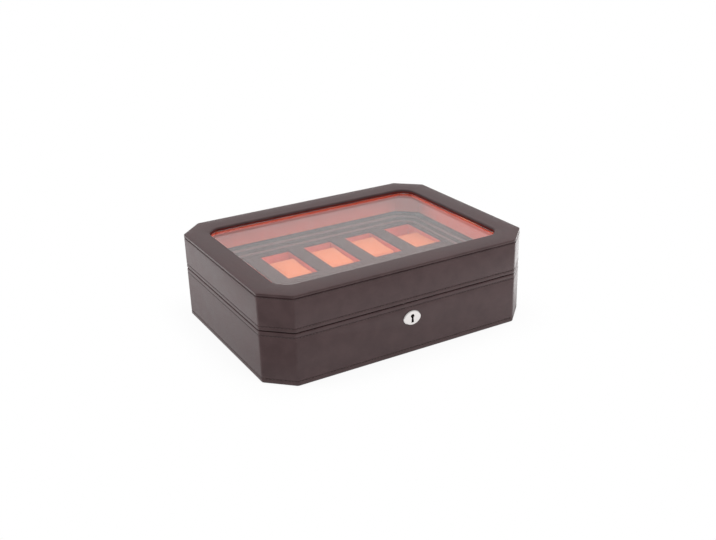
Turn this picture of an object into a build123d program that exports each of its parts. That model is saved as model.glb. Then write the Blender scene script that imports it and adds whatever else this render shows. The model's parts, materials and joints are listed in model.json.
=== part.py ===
from build123d import *
import math
import os
from dataclasses import dataclass

# A leather-covered watch box: glass lid on two hinges, ten watch cells, a drawer in the right-hand end.
# Millimetres. Origin at the centre of the underside, X along the front, -Y out of the front, Z up.

# Overall box
WIDTH = 355.0
DEPTH = 271.4
HEIGHT = 108.4
BASE_HEIGHT = 64.0
CORNER_CUT_X = 30.0
CORNER_CUT_Y = 29.0
SEAM_GAP = 0.6

# Sheet and board
LEATHER = 1.0
BOARD = 8.0
LINING = 0.8
INNER_FRAME = 7.4
BOTTOM_BOARD = 4.0
DIVIDER_BOARD = 2.5
UPRIGHT_EDGE_ROUND = 2.0
TOP_EDGE_ROUND = 0.9
FOLDED_EDGE_BEVEL = 0.6
CREASE_BEVEL = 0.4

# Underside
UNDERSIDE_PAD = 1.3
PAD_STANDS_PROUD = 0.3
TURNED_IN_LEATHER = 12.5

# Lid
WINDOW_SIDE_BORDER = 28.0
WINDOW_FRONT_BORDER = 29.7
WINDOW_CORNER_CUT = 12.5
WINDOW_CORNER_ROUND = 3.0
GLASS_DROP = 8.0
GLASS = 3.0
GLASS_REBATE = 6.0
GLASS_CLEARANCE = 0.3
RETAINER_BELOW_GLASS = 3.0
WINDOW_LEATHER_TURN = 3.4

# Watch tray and cells
COLUMNS = 5
TRAY_DROP = 7.0
TRAY_PANEL = 2.5
TRAY_CLEARANCE = 0.3
TRAY_SIDE_BORDER = 15.0
TRAY_FRONT_BORDER = 23.0
COLUMN_RIB = 20.0
ROW_RIB = 21.0

# Watch pillows
PILLOW_DROP = 2.6
PILLOW_HEIGHT = 19.4
PILLOW_LENGTH = 58.0
PILLOW_SIDE_CLEARANCE = 0.9
PILLOW_FLOOR_GAP = 0.3
PILLOW_CROWN = 2.2
PILLOW_WAIST = 0.7
PILLOW_PLAN_ROUND = 4.0
PILLOW_TOP_ROUND = 5.0
# How far each pillow of a row has slid forward, as a share of its play in the cell
PILLOW_PLACES = (0.45, 0.62, 0.48, 0.36, 0.92)

# Drawer and its bay
DRAWER_SILL = 8.0
DRAWER_HEADER = 0.6
DRAWER_JAMB = 13.7
DRAWER_CLEARANCE = 0.6
DRAWER_END_GAP = 12.0
DRAWER_SIDE = 5.0
DRAWER_BOTTOM = 2.5
DRAWER_LINING_DROP = 0.5
DRAWER_DIVIDER = 4.0
DRAWER_DIVIDER_DROP = 2.0
GUIDE_BOARD = 6.0
RUNNER_HEIGHT = 4.0
RUNNER_DEPTH = 3.0
RUNNER_CLEARANCE = 0.3
RUNNER_END_GAP = 1.0
TAB_WIDTH = 18.0
TAB_REACH = 12.0
TAB_THICKNESS = 2.4

# Hinges
HINGE_FROM_CORNER = 55.5
HINGE_WIDTH = 40.0
HINGE_LEAF_DEPTH = 8.0
KNUCKLE_RADIUS = 2.6
KNUCKLE_STANDOFF = 0.3
KNUCKLE_GAP = 0.3
MIDDLE_KNUCKLE = 16.0
PIN_RADIUS = 1.3
PIN_CLEARANCE = 0.05

# Countersunk screws
SCREW_HEAD_RADIUS = 1.9
SCREW_SHANK_RADIUS = 0.9
SCREW_LENGTH = 7.0
SCREW_CLEARANCE = 0.05
SCREW_SHANK_SIDES = 8
HINGE_SCREW_INSET = 6.0
LOCK_SCREW_INSET = 3.5

# Lock
LOCK_PLATE_LENGTH = 54.0
LOCK_PLATE_DEPTH = 7.0
CASE_LENGTH = 40.0
CASE_DEPTH = 6.0
CASE_WALL = 0.7
CASE_BELOW_KEYHOLE = 8.0
CASE_FIT = 0.1
HOOK_SPACING = 18.0
HOOK_STEM = 1.6
HOOK_TOE = 3.2
HOOK_TOE_HEIGHT = 1.6
HOOK_DROP = 10.0
HOOK_SLOT_CLEARANCE = 0.4
BOLT_CLEARANCE = 0.6
BOLT_BAR_HEIGHT = 3.6
BOLT_POST = 2.0
BOLT_PRONG_LENGTH = 4.0
BOLT_PRONG_HEIGHT = 2.8
BOLT_TALON = 4.0
TALON_DEPTH_SHARE = 0.33
KEYHOLE_DROP = 19.2
KEYHOLE_RADIUS = 2.4
KEYHOLE_RISE = 2.4
KEYHOLE_SLOT_DROP = 5.6
KEYHOLE_NECK = 1.9
KEYHOLE_FOOT = 3.4
KEYHOLE_PASSAGE_MARGIN = 0.8
ESCUTCHEON_LENGTH = 23.5
ESCUTCHEON_HEIGHT = 18.0
ESCUTCHEON_THICKNESS = 1.8
ESCUTCHEON_END_RADIUS = 6.2
ESCUTCHEON_BEVEL = 0.9
DRILL_PIN_RADIUS = 0.9

# Working values: how far a cut runs past a face, and how near counts as the same place
OVERCUT = 1.0
SAME_PLACE = 0.001

# Heights worked out from the sizes above
RIM_TOP = BASE_HEIGHT - SEAM_GAP / 2
LID_LOW = BASE_HEIGHT + SEAM_GAP / 2
BASE_BOARD_LOW = UNDERSIDE_PAD
BASE_BOARD_HIGH = RIM_TOP - LEATHER
LID_BOARD_LOW = LID_LOW + LEATHER
LID_BOARD_HIGH = HEIGHT - LEATHER
GLASS_TOP = HEIGHT - GLASS_DROP
GLASS_LOW = GLASS_TOP - GLASS
RETAINER_LOW = GLASS_LOW - RETAINER_BELOW_GLASS
BAY_FLOOR = BASE_BOARD_LOW + BOTTOM_BOARD
TRAY_TOP = BASE_HEIGHT - TRAY_DROP
TRAY_LOW = TRAY_TOP - TRAY_PANEL
PILLOW_TOP = TRAY_TOP - PILLOW_DROP
PILLOW_LOW = PILLOW_TOP - PILLOW_HEIGHT
LINER_FLOOR_TOP = PILLOW_LOW - PILLOW_FLOOR_GAP
DIVIDER_TOP = LINER_FLOOR_TOP - LINING
DIVIDER_LOW = DIVIDER_TOP - DIVIDER_BOARD
KEYHOLE_Z = BASE_HEIGHT - KEYHOLE_DROP

# Wall layers, measured inwards from the outside
WALL = LEATHER + BOARD
LINED_WALL = WALL + LINING
LIP = WALL + INNER_FRAME + LINING

# Drawer opening in the right-hand end, and the drawer in it
OPENING_LOW = DRAWER_SILL
OPENING_HIGH = DIVIDER_LOW - DRAWER_HEADER
OPENING_HALF = DEPTH / 2 - CORNER_CUT_Y - DRAWER_JAMB
DRAWER_LOW = OPENING_LOW + DRAWER_CLEARANCE
DRAWER_HIGH = OPENING_HIGH - DRAWER_CLEARANCE
DRAWER_HALF = OPENING_HALF - DRAWER_CLEARANCE
END_FACE = WIDTH / 2
DRAWER_BACK_OF_FRONT = END_FACE - WALL
DRAWER_INNER_X = -(WIDTH / 2 - WALL) + DRAWER_END_GAP
DRAWER_FLOOR = DRAWER_LOW + DRAWER_BOTTOM
DRAWER_LINED_FLOOR = DRAWER_FLOOR + LINING
DRAWER_MID_Z = (DRAWER_LOW + DRAWER_HIGH) / 2
DRAWER_INSIDE_HALF = DRAWER_HALF - DRAWER_SIDE
DRAWER_INSIDE_X = DRAWER_INNER_X + DRAWER_SIDE

# Hinge axis and lock plane
BACK = DEPTH / 2
HINGE_Y = BACK + KNUCKLE_RADIUS + KNUCKLE_STANDOFF
HINGE_OFFSET = WIDTH / 2 - CORNER_CUT_X - HINGE_FROM_CORNER
HINGE_SCREW_REACH = HINGE_WIDTH / 2 - HINGE_SCREW_INSET
LOCK_SCREW_REACH = LOCK_PLATE_LENGTH / 2 - LOCK_SCREW_INSET
LOCK_Y = -(DEPTH / 2 - LEATHER - BOARD / 2)
HOOK_LOW = LID_LOW - HOOK_DROP
PRONG_LOW = HOOK_LOW + HOOK_TOE_HEIGHT + BOLT_CLEARANCE
BAR_HIGH = HOOK_LOW - BOLT_CLEARANCE
BAR_LOW = BAR_HIGH - BOLT_BAR_HEIGHT
CAVITY_DEPTH = CASE_DEPTH - 2 * CASE_WALL
HOOK_DEPTH = CAVITY_DEPTH - 2 * CASE_WALL


@dataclass(frozen=True)
class Outline:
    """An eight-sided plan: a rectangle with its four corners cut off."""

    width: float
    depth: float
    cut_x: float
    cut_y: float

    def inset(self, wall):
        """The plan with every side moved in by the same wall."""
        slant = math.hypot(self.cut_x, self.cut_y)
        lost_x = wall * (1 - (slant - self.cut_x) / self.cut_y)
        lost_y = wall * (1 - (slant - self.cut_y) / self.cut_x)
        return Outline(
            self.width - 2 * wall,
            self.depth - 2 * wall,
            self.cut_x - lost_x,
            self.cut_y - lost_y,
        )

    def corners(self):
        """The eight corners, from the left end of the front, anticlockwise seen from above."""
        x = self.width / 2
        y = self.depth / 2
        return [
            (self.cut_x - x, -y),
            (x - self.cut_x, -y),
            (x, self.cut_y - y),
            (x, y - self.cut_y),
            (x - self.cut_x, y),
            (self.cut_x - x, y),
            (-x, y - self.cut_y),
            (-x, self.cut_y - y),
        ]

    def prism(self, low, high, upright_round=0.0):
        """The plan stood up between two heights, with its upright edges rounded."""
        solid = upright(self.corners(), low, high)
        if upright_round > 0:
            solid = fillet(solid.edges().filter_by(Axis.Z), upright_round)
        return solid


def upright(corners, low, high):
    """A plan given by its corners, stood up between two heights."""
    plan = make_face(Polyline(*corners, close=True))
    return Pos(0, 0, low) * extrude(plan, high - low)


def block(x_low, x_high, y_low, y_high, z_low, z_high):
    """A box between six planes."""
    centre = Pos((x_low + x_high) / 2, (y_low + y_high) / 2, (z_low + z_high) / 2)
    return centre * Box(x_high - x_low, y_high - y_low, z_high - z_low)


def rod_along_x(radius, x_low, x_high, y, z):
    """A round bar along X."""
    return Pos((x_low + x_high) / 2, y, z) * Rot(0, 90, 0) * Cylinder(radius, x_high - x_low)


def edges_at(solid, z):
    """The edges of a solid that lie flat at one height."""
    flat = solid.edges().filter_by(lambda edge: abs(edge.bounding_box().size.Z) < SAME_PLACE)
    return flat.filter_by(lambda edge: abs(edge.center().Z - z) < SAME_PLACE)


def save(name, *pieces):
    """Write one node: a solid, or a group of separate solids."""
    solids = [solid for piece in pieces for solid in piece.solids()]
    export_step(Compound(solids), f"parts/{name}.step")


BOX = Outline(WIDTH, DEPTH, CORNER_CUT_X, CORNER_CUT_Y)
WINDOW = Outline(
    WIDTH - 2 * WINDOW_SIDE_BORDER,
    DEPTH - 2 * WINDOW_FRONT_BORDER,
    WINDOW_CORNER_CUT,
    WINDOW_CORNER_CUT,
)
TRAY = BOX.inset(LIP + TRAY_CLEARANCE)
CELL_WIDTH = (BOX.inset(LIP).width - 2 * TRAY_SIDE_BORDER - (COLUMNS - 1) * COLUMN_RIB) / COLUMNS
CELL_LENGTH = (BOX.inset(LIP).depth - 2 * TRAY_FRONT_BORDER - ROW_RIB) / 2
PILLOW_WIDTH = CELL_WIDTH - 2 * PILLOW_SIDE_CLEARANCE


def mitred_boards(low, high):
    """The eight wall boards, mitred where they meet, in the order of the outline's corners."""
    outside = BOX.inset(LEATHER).corners()
    inside = BOX.inset(WALL).corners()
    boards = []
    for start in range(len(outside)):
        end = (start + 1) % len(outside)
        boards.append(upright([outside[start], outside[end], inside[end], inside[start]], low, high))
    return boards


# Screws


def screw(x, y, face_z, heading, clearance=0.0):
    """A countersunk screw with its head flush at a height, heading 1 up into the work or -1 down.

    The head is as deep as the leather or leaf it sits in, and the shank's core has flats.
    """
    head_radius = SCREW_HEAD_RADIUS + clearance
    shank_radius = SCREW_SHANK_RADIUS + clearance
    length = SCREW_LENGTH + clearance
    head = Pos(0, 0, LEATHER / 2) * Cone(head_radius, shank_radius, LEATHER)
    shank = Pos(0, 0, LEATHER) * extrude(RegularPolygon(shank_radius, SCREW_SHANK_SIDES), length - LEATHER)
    turned = head + shank
    if heading < 0:
        turned = Rot(180, 0, 0) * turned
    return Pos(x, y, face_z) * turned


def hinge_screws(face_z, heading, clearance=0.0):
    """The screws of both hinges on one side of the seam."""
    y = BACK - LEATHER - BOARD / 2
    ends = (-HINGE_SCREW_REACH, HINGE_SCREW_REACH)
    offsets = [side * HINGE_OFFSET + end for side in (-1, 1) for end in ends]
    return [screw(x, y, face_z, heading, clearance) for x in offsets]


def lock_screws(face_z, heading, clearance=0.0):
    """The two screws of a lock plate on one side of the seam."""
    ends = (-LOCK_SCREW_REACH, LOCK_SCREW_REACH)
    return [screw(x, LOCK_Y, face_z, heading, clearance) for x in ends]


# Hinges


def knuckle(x_low, x_high):
    """One hinge knuckle with its pin bore."""
    bored = rod_along_x(PIN_RADIUS + PIN_CLEARANCE, x_low - OVERCUT, x_high + OVERCUT, HINGE_Y, BASE_HEIGHT)
    return rod_along_x(KNUCKLE_RADIUS, x_low, x_high, HINGE_Y, BASE_HEIGHT) - bored


def knuckle_tab(x_low, x_high, z_low, z_high):
    """The strip that joins a leaf to a knuckle, clear of the pin bore."""
    reach = HINGE_Y - PIN_RADIUS - PIN_CLEARANCE - KNUCKLE_STANDOFF
    return block(x_low, x_high, BACK - HINGE_LEAF_DEPTH, reach, z_low, z_high)


def hinge_leaf(x, on_lid):
    """One leaf: the base leaf has the two outer knuckles and the lid leaf has the middle one."""
    z_low, z_high = (LID_LOW, LID_BOARD_LOW) if on_lid else (BASE_BOARD_HIGH, RIM_TOP)
    half = HINGE_WIDTH / 2
    middle = MIDDLE_KNUCKLE / 2
    leaf = block(x - half, x + half, BACK - HINGE_LEAF_DEPTH, BACK, z_low, z_high)
    if on_lid:
        spans = [(x - middle, x + middle)]
    else:
        inner = middle + KNUCKLE_GAP
        spans = [(x - half, x - inner), (x + inner, x + half)]
    for x_low, x_high in spans:
        leaf += knuckle_tab(x_low, x_high, z_low, z_high) + knuckle(x_low, x_high)
    heading = 1 if on_lid else -1
    face = z_low if on_lid else z_high
    for hole in hinge_screws(face, heading, SCREW_CLEARANCE):
        leaf -= hole
    return leaf


def hinge_pin(x):
    """The pin of one hinge, as long as its knuckles."""
    return rod_along_x(PIN_RADIUS, x - HINGE_WIDTH / 2, x + HINGE_WIDTH / 2, HINGE_Y, BASE_HEIGHT)


def leaf_recesses(z_low, z_high):
    """The shallow places let into the leather for the hinge leaves."""
    half = HINGE_WIDTH / 2
    low = BACK - HINGE_LEAF_DEPTH
    high = BACK + OVERCUT
    centres = (-HINGE_OFFSET, HINGE_OFFSET)
    return [block(x - half, x + half, low, high, z_low, z_high) for x in centres]


# Lock


def keyhole_sketch(margin=0.0):
    """A round hole over a slot that widens downwards, drawn on the front."""
    neck = KEYHOLE_NECK / 2 + margin
    foot = KEYHOLE_FOOT / 2 + margin
    low = KEYHOLE_Z - KEYHOLE_SLOT_DROP - margin
    centre = KEYHOLE_Z + KEYHOLE_RISE
    slot = make_face(Polyline((-neck, centre), (-foot, low), (foot, low), (neck, centre), close=True))
    return slot + Pos(0, centre) * Circle(KEYHOLE_RADIUS + margin)


def keyhole_cut(y_front, y_back, margin=0.0):
    """The keyhole's shape cut from one depth to another."""
    return extrude(Plane.XZ.offset(-y_back) * keyhole_sketch(margin), y_back - y_front)


def oval_sketch(half_length, half_height, end_radius):
    """An oval of four arcs that run smoothly into one another."""
    end_centre = half_length - end_radius
    spare = half_height - end_radius
    flank_drop = (end_centre**2 - spare**2) / (2 * spare)
    slope = math.hypot(end_centre, flank_drop)
    join_x = end_centre + end_radius * end_centre / slope
    join_y = end_radius * flank_drop / slope
    arcs = [
        ThreePointArc((-join_x, join_y), (0, half_height), (join_x, join_y)),
        ThreePointArc((join_x, join_y), (half_length, 0), (join_x, -join_y)),
        ThreePointArc((join_x, -join_y), (0, -half_height), (-join_x, -join_y)),
        ThreePointArc((-join_x, -join_y), (-half_length, 0), (-join_x, join_y)),
    ]
    return make_face(Curve() + arcs)


def escutcheon():
    """The oval plate round the keyhole, with a bevelled edge."""
    oval = oval_sketch(ESCUTCHEON_LENGTH / 2, ESCUTCHEON_HEIGHT / 2, ESCUTCHEON_END_RADIUS)
    plate = extrude(Plane.XZ.offset(DEPTH / 2) * Pos(0, KEYHOLE_Z) * oval, ESCUTCHEON_THICKNESS)
    front = plate.faces().sort_by(Axis.Y)[0]
    plate = chamfer(front.edges(), ESCUTCHEON_BEVEL)
    return plate - keyhole_cut(-DEPTH / 2 - ESCUTCHEON_THICKNESS - OVERCUT, -DEPTH / 2 + OVERCUT)


def lock_block(half_length, half_depth, low, high):
    """A block centred on the lock's plane."""
    return block(-half_length, half_length, LOCK_Y - half_depth, LOCK_Y + half_depth, low, high)


def lock_case():
    """The case let into the front board, open at the top under its selvedge plate."""
    low = KEYHOLE_Z - CASE_BELOW_KEYHOLE
    case = lock_block(CASE_LENGTH / 2, CASE_DEPTH / 2, low, BASE_BOARD_HIGH)
    inside_length = CASE_LENGTH / 2 - CASE_WALL
    case -= lock_block(inside_length, CAVITY_DEPTH / 2, low + CASE_WALL, BASE_BOARD_HIGH + OVERCUT)
    return case - keyhole_cut(LOCK_Y - CASE_DEPTH, LOCK_Y)


def lock_mortise():
    """The pocket for the case in the front board."""
    low = KEYHOLE_Z - CASE_BELOW_KEYHOLE - CASE_FIT
    return lock_block(CASE_LENGTH / 2 + CASE_FIT, CASE_DEPTH / 2 + CASE_FIT, low, BASE_BOARD_HIGH + OVERCUT)


def hook_places():
    """Where the front face of each hook's stem stands along X."""
    return (-HOOK_SPACING / 2, HOOK_SPACING / 2)


def selvedge_plate():
    """The plate flush with the rim, slotted for the two hooks."""
    plate = lock_block(LOCK_PLATE_LENGTH / 2, LOCK_PLATE_DEPTH / 2, BASE_BOARD_HIGH, RIM_TOP)
    y_low = LOCK_Y - HOOK_DEPTH / 2 - HOOK_SLOT_CLEARANCE
    y_high = LOCK_Y + HOOK_DEPTH / 2 + HOOK_SLOT_CLEARANCE
    for x in hook_places():
        x_low = x - HOOK_TOE - HOOK_SLOT_CLEARANCE
        x_high = x + HOOK_STEM + HOOK_SLOT_CLEARANCE
        plate -= block(x_low, x_high, y_low, y_high, BASE_BOARD_HIGH - OVERCUT, RIM_TOP + OVERCUT)
    for hole in lock_screws(RIM_TOP, -1, SCREW_CLEARANCE):
        plate -= hole
    return plate


def hasp():
    """The plate in the lid's front edge, with two hooks that drop through the selvedge plate."""
    plate = lock_block(LOCK_PLATE_LENGTH / 2, LOCK_PLATE_DEPTH / 2, LID_LOW, LID_BOARD_LOW)
    y_low = LOCK_Y - HOOK_DEPTH / 2
    y_high = LOCK_Y + HOOK_DEPTH / 2
    for x in hook_places():
        plate += block(x, x + HOOK_STEM, y_low, y_high, HOOK_LOW, LID_LOW)
        plate += block(x - HOOK_TOE, x, y_low, y_high, HOOK_LOW, HOOK_LOW + HOOK_TOE_HEIGHT)
    for hole in lock_screws(LID_LOW, 1, SCREW_CLEARANCE):
        plate -= hole
    return plate


def lock_bolt():
    """The sliding bar whose two prongs pass over the toes of the hooks."""
    y_low = LOCK_Y - HOOK_DEPTH / 2
    y_high = LOCK_Y + HOOK_DEPTH / 2
    prong_tips = [x - HOOK_TOE - BOLT_CLEARANCE for x in hook_places()]
    post_backs = [tip - BOLT_PRONG_LENGTH - BOLT_POST for tip in prong_tips]
    bolt = block(post_backs[0], prong_tips[1], y_low, y_high, BAR_LOW, BAR_HIGH)
    prong_high = PRONG_LOW + BOLT_PRONG_HEIGHT
    for back, tip in zip(post_backs, prong_tips):
        bolt += block(back, back + BOLT_POST, y_low, y_high, BAR_HIGH, prong_high)
        bolt += block(back + BOLT_POST, tip, y_low, y_high, PRONG_LOW, prong_high)
    talon = BOLT_TALON / 2
    notch_top = BAR_LOW + BOLT_BAR_HEIGHT * TALON_DEPTH_SHARE
    return bolt - block(-talon, talon, y_low - OVERCUT, y_high + OVERCUT, BAR_LOW - OVERCUT, notch_top)


def drill_pin():
    """The pin that a key's hollow shank slips over."""
    length = CAVITY_DEPTH
    centre = Pos(0, LOCK_Y + CAVITY_DEPTH / 2 - length / 2, KEYHOLE_Z + KEYHOLE_RISE)
    return centre * Rot(90, 0, 0) * Cylinder(DRILL_PIN_RADIUS, length)


# Base


def drawer_opening(margin, x_low, x_high):
    """The opening for the drawer in the right-hand end, grown by a margin."""
    half = OPENING_HALF + margin
    return block(x_low, x_high, -half, half, OPENING_LOW - margin, OPENING_HIGH + margin)


def base_boards():
    """The eight base walls with the lock's pocket, the key's passage and the drawer's opening."""
    boards = mitred_boards(BASE_BOARD_LOW, BASE_BOARD_HIGH)
    front, front_right, right, back_right, back, back_left, left, front_left = boards
    front -= lock_mortise()
    front -= keyhole_cut(-DEPTH / 2, LOCK_Y, KEYHOLE_PASSAGE_MARGIN)
    for hole in lock_screws(RIM_TOP, -1, SCREW_CLEARANCE):
        front -= hole
    for hole in hinge_screws(RIM_TOP, -1, SCREW_CLEARANCE):
        back -= hole
    right -= drawer_opening(LEATHER, DRAWER_BACK_OF_FRONT - OVERCUT, END_FACE)
    return front, back, left, right, [front_right, back_right, back_left, front_left]


def base_leather():
    """One cover: up the walls, over the rim, under the bottom edge and into the drawer's opening."""
    low = PAD_STANDS_PROUD
    cover = BOX.prism(low, RIM_TOP, UPRIGHT_EDGE_ROUND)
    cover = chamfer(edges_at(cover, low) + edges_at(cover, RIM_TOP), FOLDED_EDGE_BEVEL)
    cover -= BOX.inset(LEATHER).prism(BASE_BOARD_LOW, BASE_BOARD_HIGH)
    cover -= BOX.inset(LIP).prism(BASE_BOARD_HIGH - OVERCUT, RIM_TOP + OVERCUT)
    cover -= BOX.inset(TURNED_IN_LEATHER).prism(low - OVERCUT, BASE_BOARD_LOW + OVERCUT)
    for recess in leaf_recesses(BASE_BOARD_HIGH, RIM_TOP + OVERCUT):
        cover -= recess
    half_plate = LOCK_PLATE_LENGTH / 2
    cover -= lock_block(half_plate, LOCK_PLATE_DEPTH / 2, BASE_BOARD_HIGH - OVERCUT, RIM_TOP + OVERCUT)
    cover -= keyhole_cut(-DEPTH / 2 - OVERCUT, -DEPTH / 2 + LEATHER + OVERCUT, KEYHOLE_PASSAGE_MARGIN)
    sleeve = drawer_opening(LEATHER, DRAWER_BACK_OF_FRONT, END_FACE - LEATHER)
    return cover + sleeve - drawer_opening(0, DRAWER_BACK_OF_FRONT - OVERCUT, END_FACE + OVERCUT)


def bottom_board():
    """The floor of the drawer bay, between the walls."""
    return BOX.inset(WALL).prism(BASE_BOARD_LOW, BAY_FLOOR)


def underside_pad():
    """The soft cover under the box, inside the turned-in leather."""
    return BOX.inset(TURNED_IN_LEATHER).prism(0, BASE_BOARD_LOW)


def drawer_guides():
    """The two boards beside the drawer, which also carry the divider board."""
    end = WIDTH / 2 - WALL
    front = block(-end, end, -OPENING_HALF - GUIDE_BOARD, -OPENING_HALF, BAY_FLOOR, DIVIDER_LOW)
    back = block(-end, end, OPENING_HALF, OPENING_HALF + GUIDE_BOARD, BAY_FLOOR, DIVIDER_LOW)
    return front, back


def runner_strips():
    """The strips on the guides that the grooves of the drawer's sides run on."""
    end = WIDTH / 2 - WALL - RUNNER_END_GAP
    low = DRAWER_MID_Z - RUNNER_HEIGHT / 2
    high = DRAWER_MID_Z + RUNNER_HEIGHT / 2
    front = block(-end, end, -OPENING_HALF, RUNNER_DEPTH - OPENING_HALF, low, high)
    back = block(-end, end, OPENING_HALF - RUNNER_DEPTH, OPENING_HALF, low, high)
    return front, back


def divider_board():
    """The board between the drawer bay and the watch cells."""
    return BOX.inset(WALL).prism(DIVIDER_LOW, DIVIDER_TOP)


def inner_frame():
    """The frame inside the walls that makes the rim wide and holds the tray."""
    frame = BOX.inset(WALL).prism(DIVIDER_TOP, BASE_BOARD_HIGH)
    return frame - BOX.inset(LIP - LINING).prism(DIVIDER_TOP - OVERCUT, BASE_BOARD_HIGH + OVERCUT)


def lip_lining():
    """The lining of the short wall between the rim and the tray, down to the divider board."""
    lining = BOX.inset(LIP - LINING).prism(DIVIDER_TOP, BASE_BOARD_HIGH)
    return lining - BOX.inset(LIP).prism(DIVIDER_TOP - OVERCUT, BASE_BOARD_HIGH + OVERCUT)


def cell_centres(row):
    """The centres of one row's cells, row -1 at the front and 1 at the back."""
    y = row * (CELL_LENGTH + ROW_RIB) / 2
    pitch = CELL_WIDTH + COLUMN_RIB
    return [((column - (COLUMNS - 1) / 2) * pitch, y) for column in range(COLUMNS)]


def cell_prism(x, y, grow, low, high):
    """The inside of one cell, grown by a margin."""
    plan = Rectangle(CELL_WIDTH + 2 * grow, CELL_LENGTH + 2 * grow)
    return Pos(x, y, low) * extrude(plan, high - low)


def tray_panel():
    """The leather-covered panel with a cut-out over each cell."""
    panel = TRAY.prism(TRAY_LOW, TRAY_TOP)
    for row in (-1, 1):
        for x, y in cell_centres(row):
            panel -= cell_prism(x, y, 0, TRAY_LOW - OVERCUT, TRAY_TOP + OVERCUT)
    return panel


def cell_liner(x, y):
    """The open-topped lined box under one cut-out."""
    walls = cell_prism(x, y, LINING, DIVIDER_TOP, TRAY_LOW)
    return walls - cell_prism(x, y, 0, LINER_FLOOR_TOP, TRAY_LOW + OVERCUT)


# Lid


def lid_boards():
    """The eight lid walls with pilot holes for the hinge and hasp screws."""
    boards = mitred_boards(LID_BOARD_LOW, GLASS_TOP)
    front, front_right, right, back_right, back, back_left, left, front_left = boards
    for hole in lock_screws(LID_LOW, 1, SCREW_CLEARANCE):
        front -= hole
    for hole in hinge_screws(LID_LOW, 1, SCREW_CLEARANCE):
        back -= hole
    return front, back, [right, left], [front_right, back_right, back_left, front_left]


def top_frame():
    """The board round the window."""
    frame = BOX.inset(LEATHER).prism(GLASS_TOP, LID_BOARD_HIGH)
    return frame - WINDOW.inset(-LINING).prism(GLASS_TOP - OVERCUT, HEIGHT, WINDOW_CORNER_ROUND)


def lid_side_leather():
    """The cover up the lid's sides and under its bottom edge."""
    cover = BOX.prism(LID_LOW, LID_BOARD_HIGH, UPRIGHT_EDGE_ROUND)
    cover = chamfer(edges_at(cover, LID_LOW), FOLDED_EDGE_BEVEL)
    cover = chamfer(edges_at(cover, LID_BOARD_HIGH), CREASE_BEVEL)
    cover -= BOX.inset(LEATHER).prism(LID_BOARD_LOW, LID_BOARD_HIGH + OVERCUT)
    cover -= BOX.inset(LINED_WALL).prism(LID_LOW - OVERCUT, LID_BOARD_LOW + OVERCUT)
    for recess in leaf_recesses(LID_LOW - OVERCUT, LID_BOARD_LOW):
        cover -= recess
    return cover - lock_block(LOCK_PLATE_LENGTH / 2, LOCK_PLATE_DEPTH / 2, LID_LOW - OVERCUT, LID_BOARD_LOW)


def lid_top_leather():
    """The cover over the top frame, turned down into the window."""
    sheet = BOX.prism(LID_BOARD_HIGH, HEIGHT, UPRIGHT_EDGE_ROUND)
    sheet = fillet(edges_at(sheet, HEIGHT), TOP_EDGE_ROUND)
    turn_low = HEIGHT - WINDOW_LEATHER_TURN
    sheet += WINDOW.inset(-LINING).prism(turn_low, LID_BOARD_HIGH, WINDOW_CORNER_ROUND)
    hole = WINDOW.prism(turn_low - OVERCUT, HEIGHT + OVERCUT, WINDOW_CORNER_ROUND)
    sheet -= hole
    rim = edges_at(sheet, HEIGHT).filter_by(lambda edge: abs(edge.center().X) < WINDOW.width / 2 + SAME_PLACE)
    rim = rim.filter_by(lambda edge: abs(edge.center().Y) < WINDOW.depth / 2 + SAME_PLACE)
    return chamfer(rim, FOLDED_EDGE_BEVEL)


def window_lining():
    """The coloured band between the turned-down leather and the glass."""
    turn_low = HEIGHT - WINDOW_LEATHER_TURN
    band = WINDOW.inset(-LINING).prism(GLASS_TOP, turn_low, WINDOW_CORNER_ROUND)
    return band - WINDOW.prism(GLASS_TOP - OVERCUT, turn_low + OVERCUT, WINDOW_CORNER_ROUND)


def glass_pane():
    """The glass, larger than the window all round."""
    return WINDOW.inset(-GLASS_REBATE).prism(GLASS_LOW, GLASS_TOP)


def glass_retainer():
    """The frame under the top that holds the glass in its rebate."""
    frame = BOX.inset(WALL).prism(RETAINER_LOW, GLASS_TOP)
    frame -= WINDOW.prism(RETAINER_LOW - OVERCUT, GLASS_TOP + OVERCUT, WINDOW_CORNER_ROUND)
    return frame - WINDOW.inset(-GLASS_REBATE - GLASS_CLEARANCE).prism(GLASS_LOW, GLASS_TOP + OVERCUT)


def lid_wall_lining():
    """The coloured lining of the lid's walls, under the glass retainer."""
    lining = BOX.inset(WALL).prism(LID_BOARD_LOW, RETAINER_LOW)
    return lining - BOX.inset(LINED_WALL).prism(LID_BOARD_LOW - OVERCUT, RETAINER_LOW + OVERCUT)


# Drawer


def drawer_front():
    """The front's board and the leather folded over its face and edges."""
    leather = block(DRAWER_BACK_OF_FRONT, END_FACE, -DRAWER_HALF, DRAWER_HALF, DRAWER_LOW, DRAWER_HIGH)
    outer = leather.faces().sort_by(Axis.X)[-1]
    leather = chamfer(outer.edges(), FOLDED_EDGE_BEVEL)
    board = block(
        DRAWER_BACK_OF_FRONT,
        END_FACE - LEATHER,
        LEATHER - DRAWER_HALF,
        DRAWER_HALF - LEATHER,
        DRAWER_LOW + LEATHER,
        DRAWER_HIGH - LEATHER,
    )
    return board, leather - board


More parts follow.
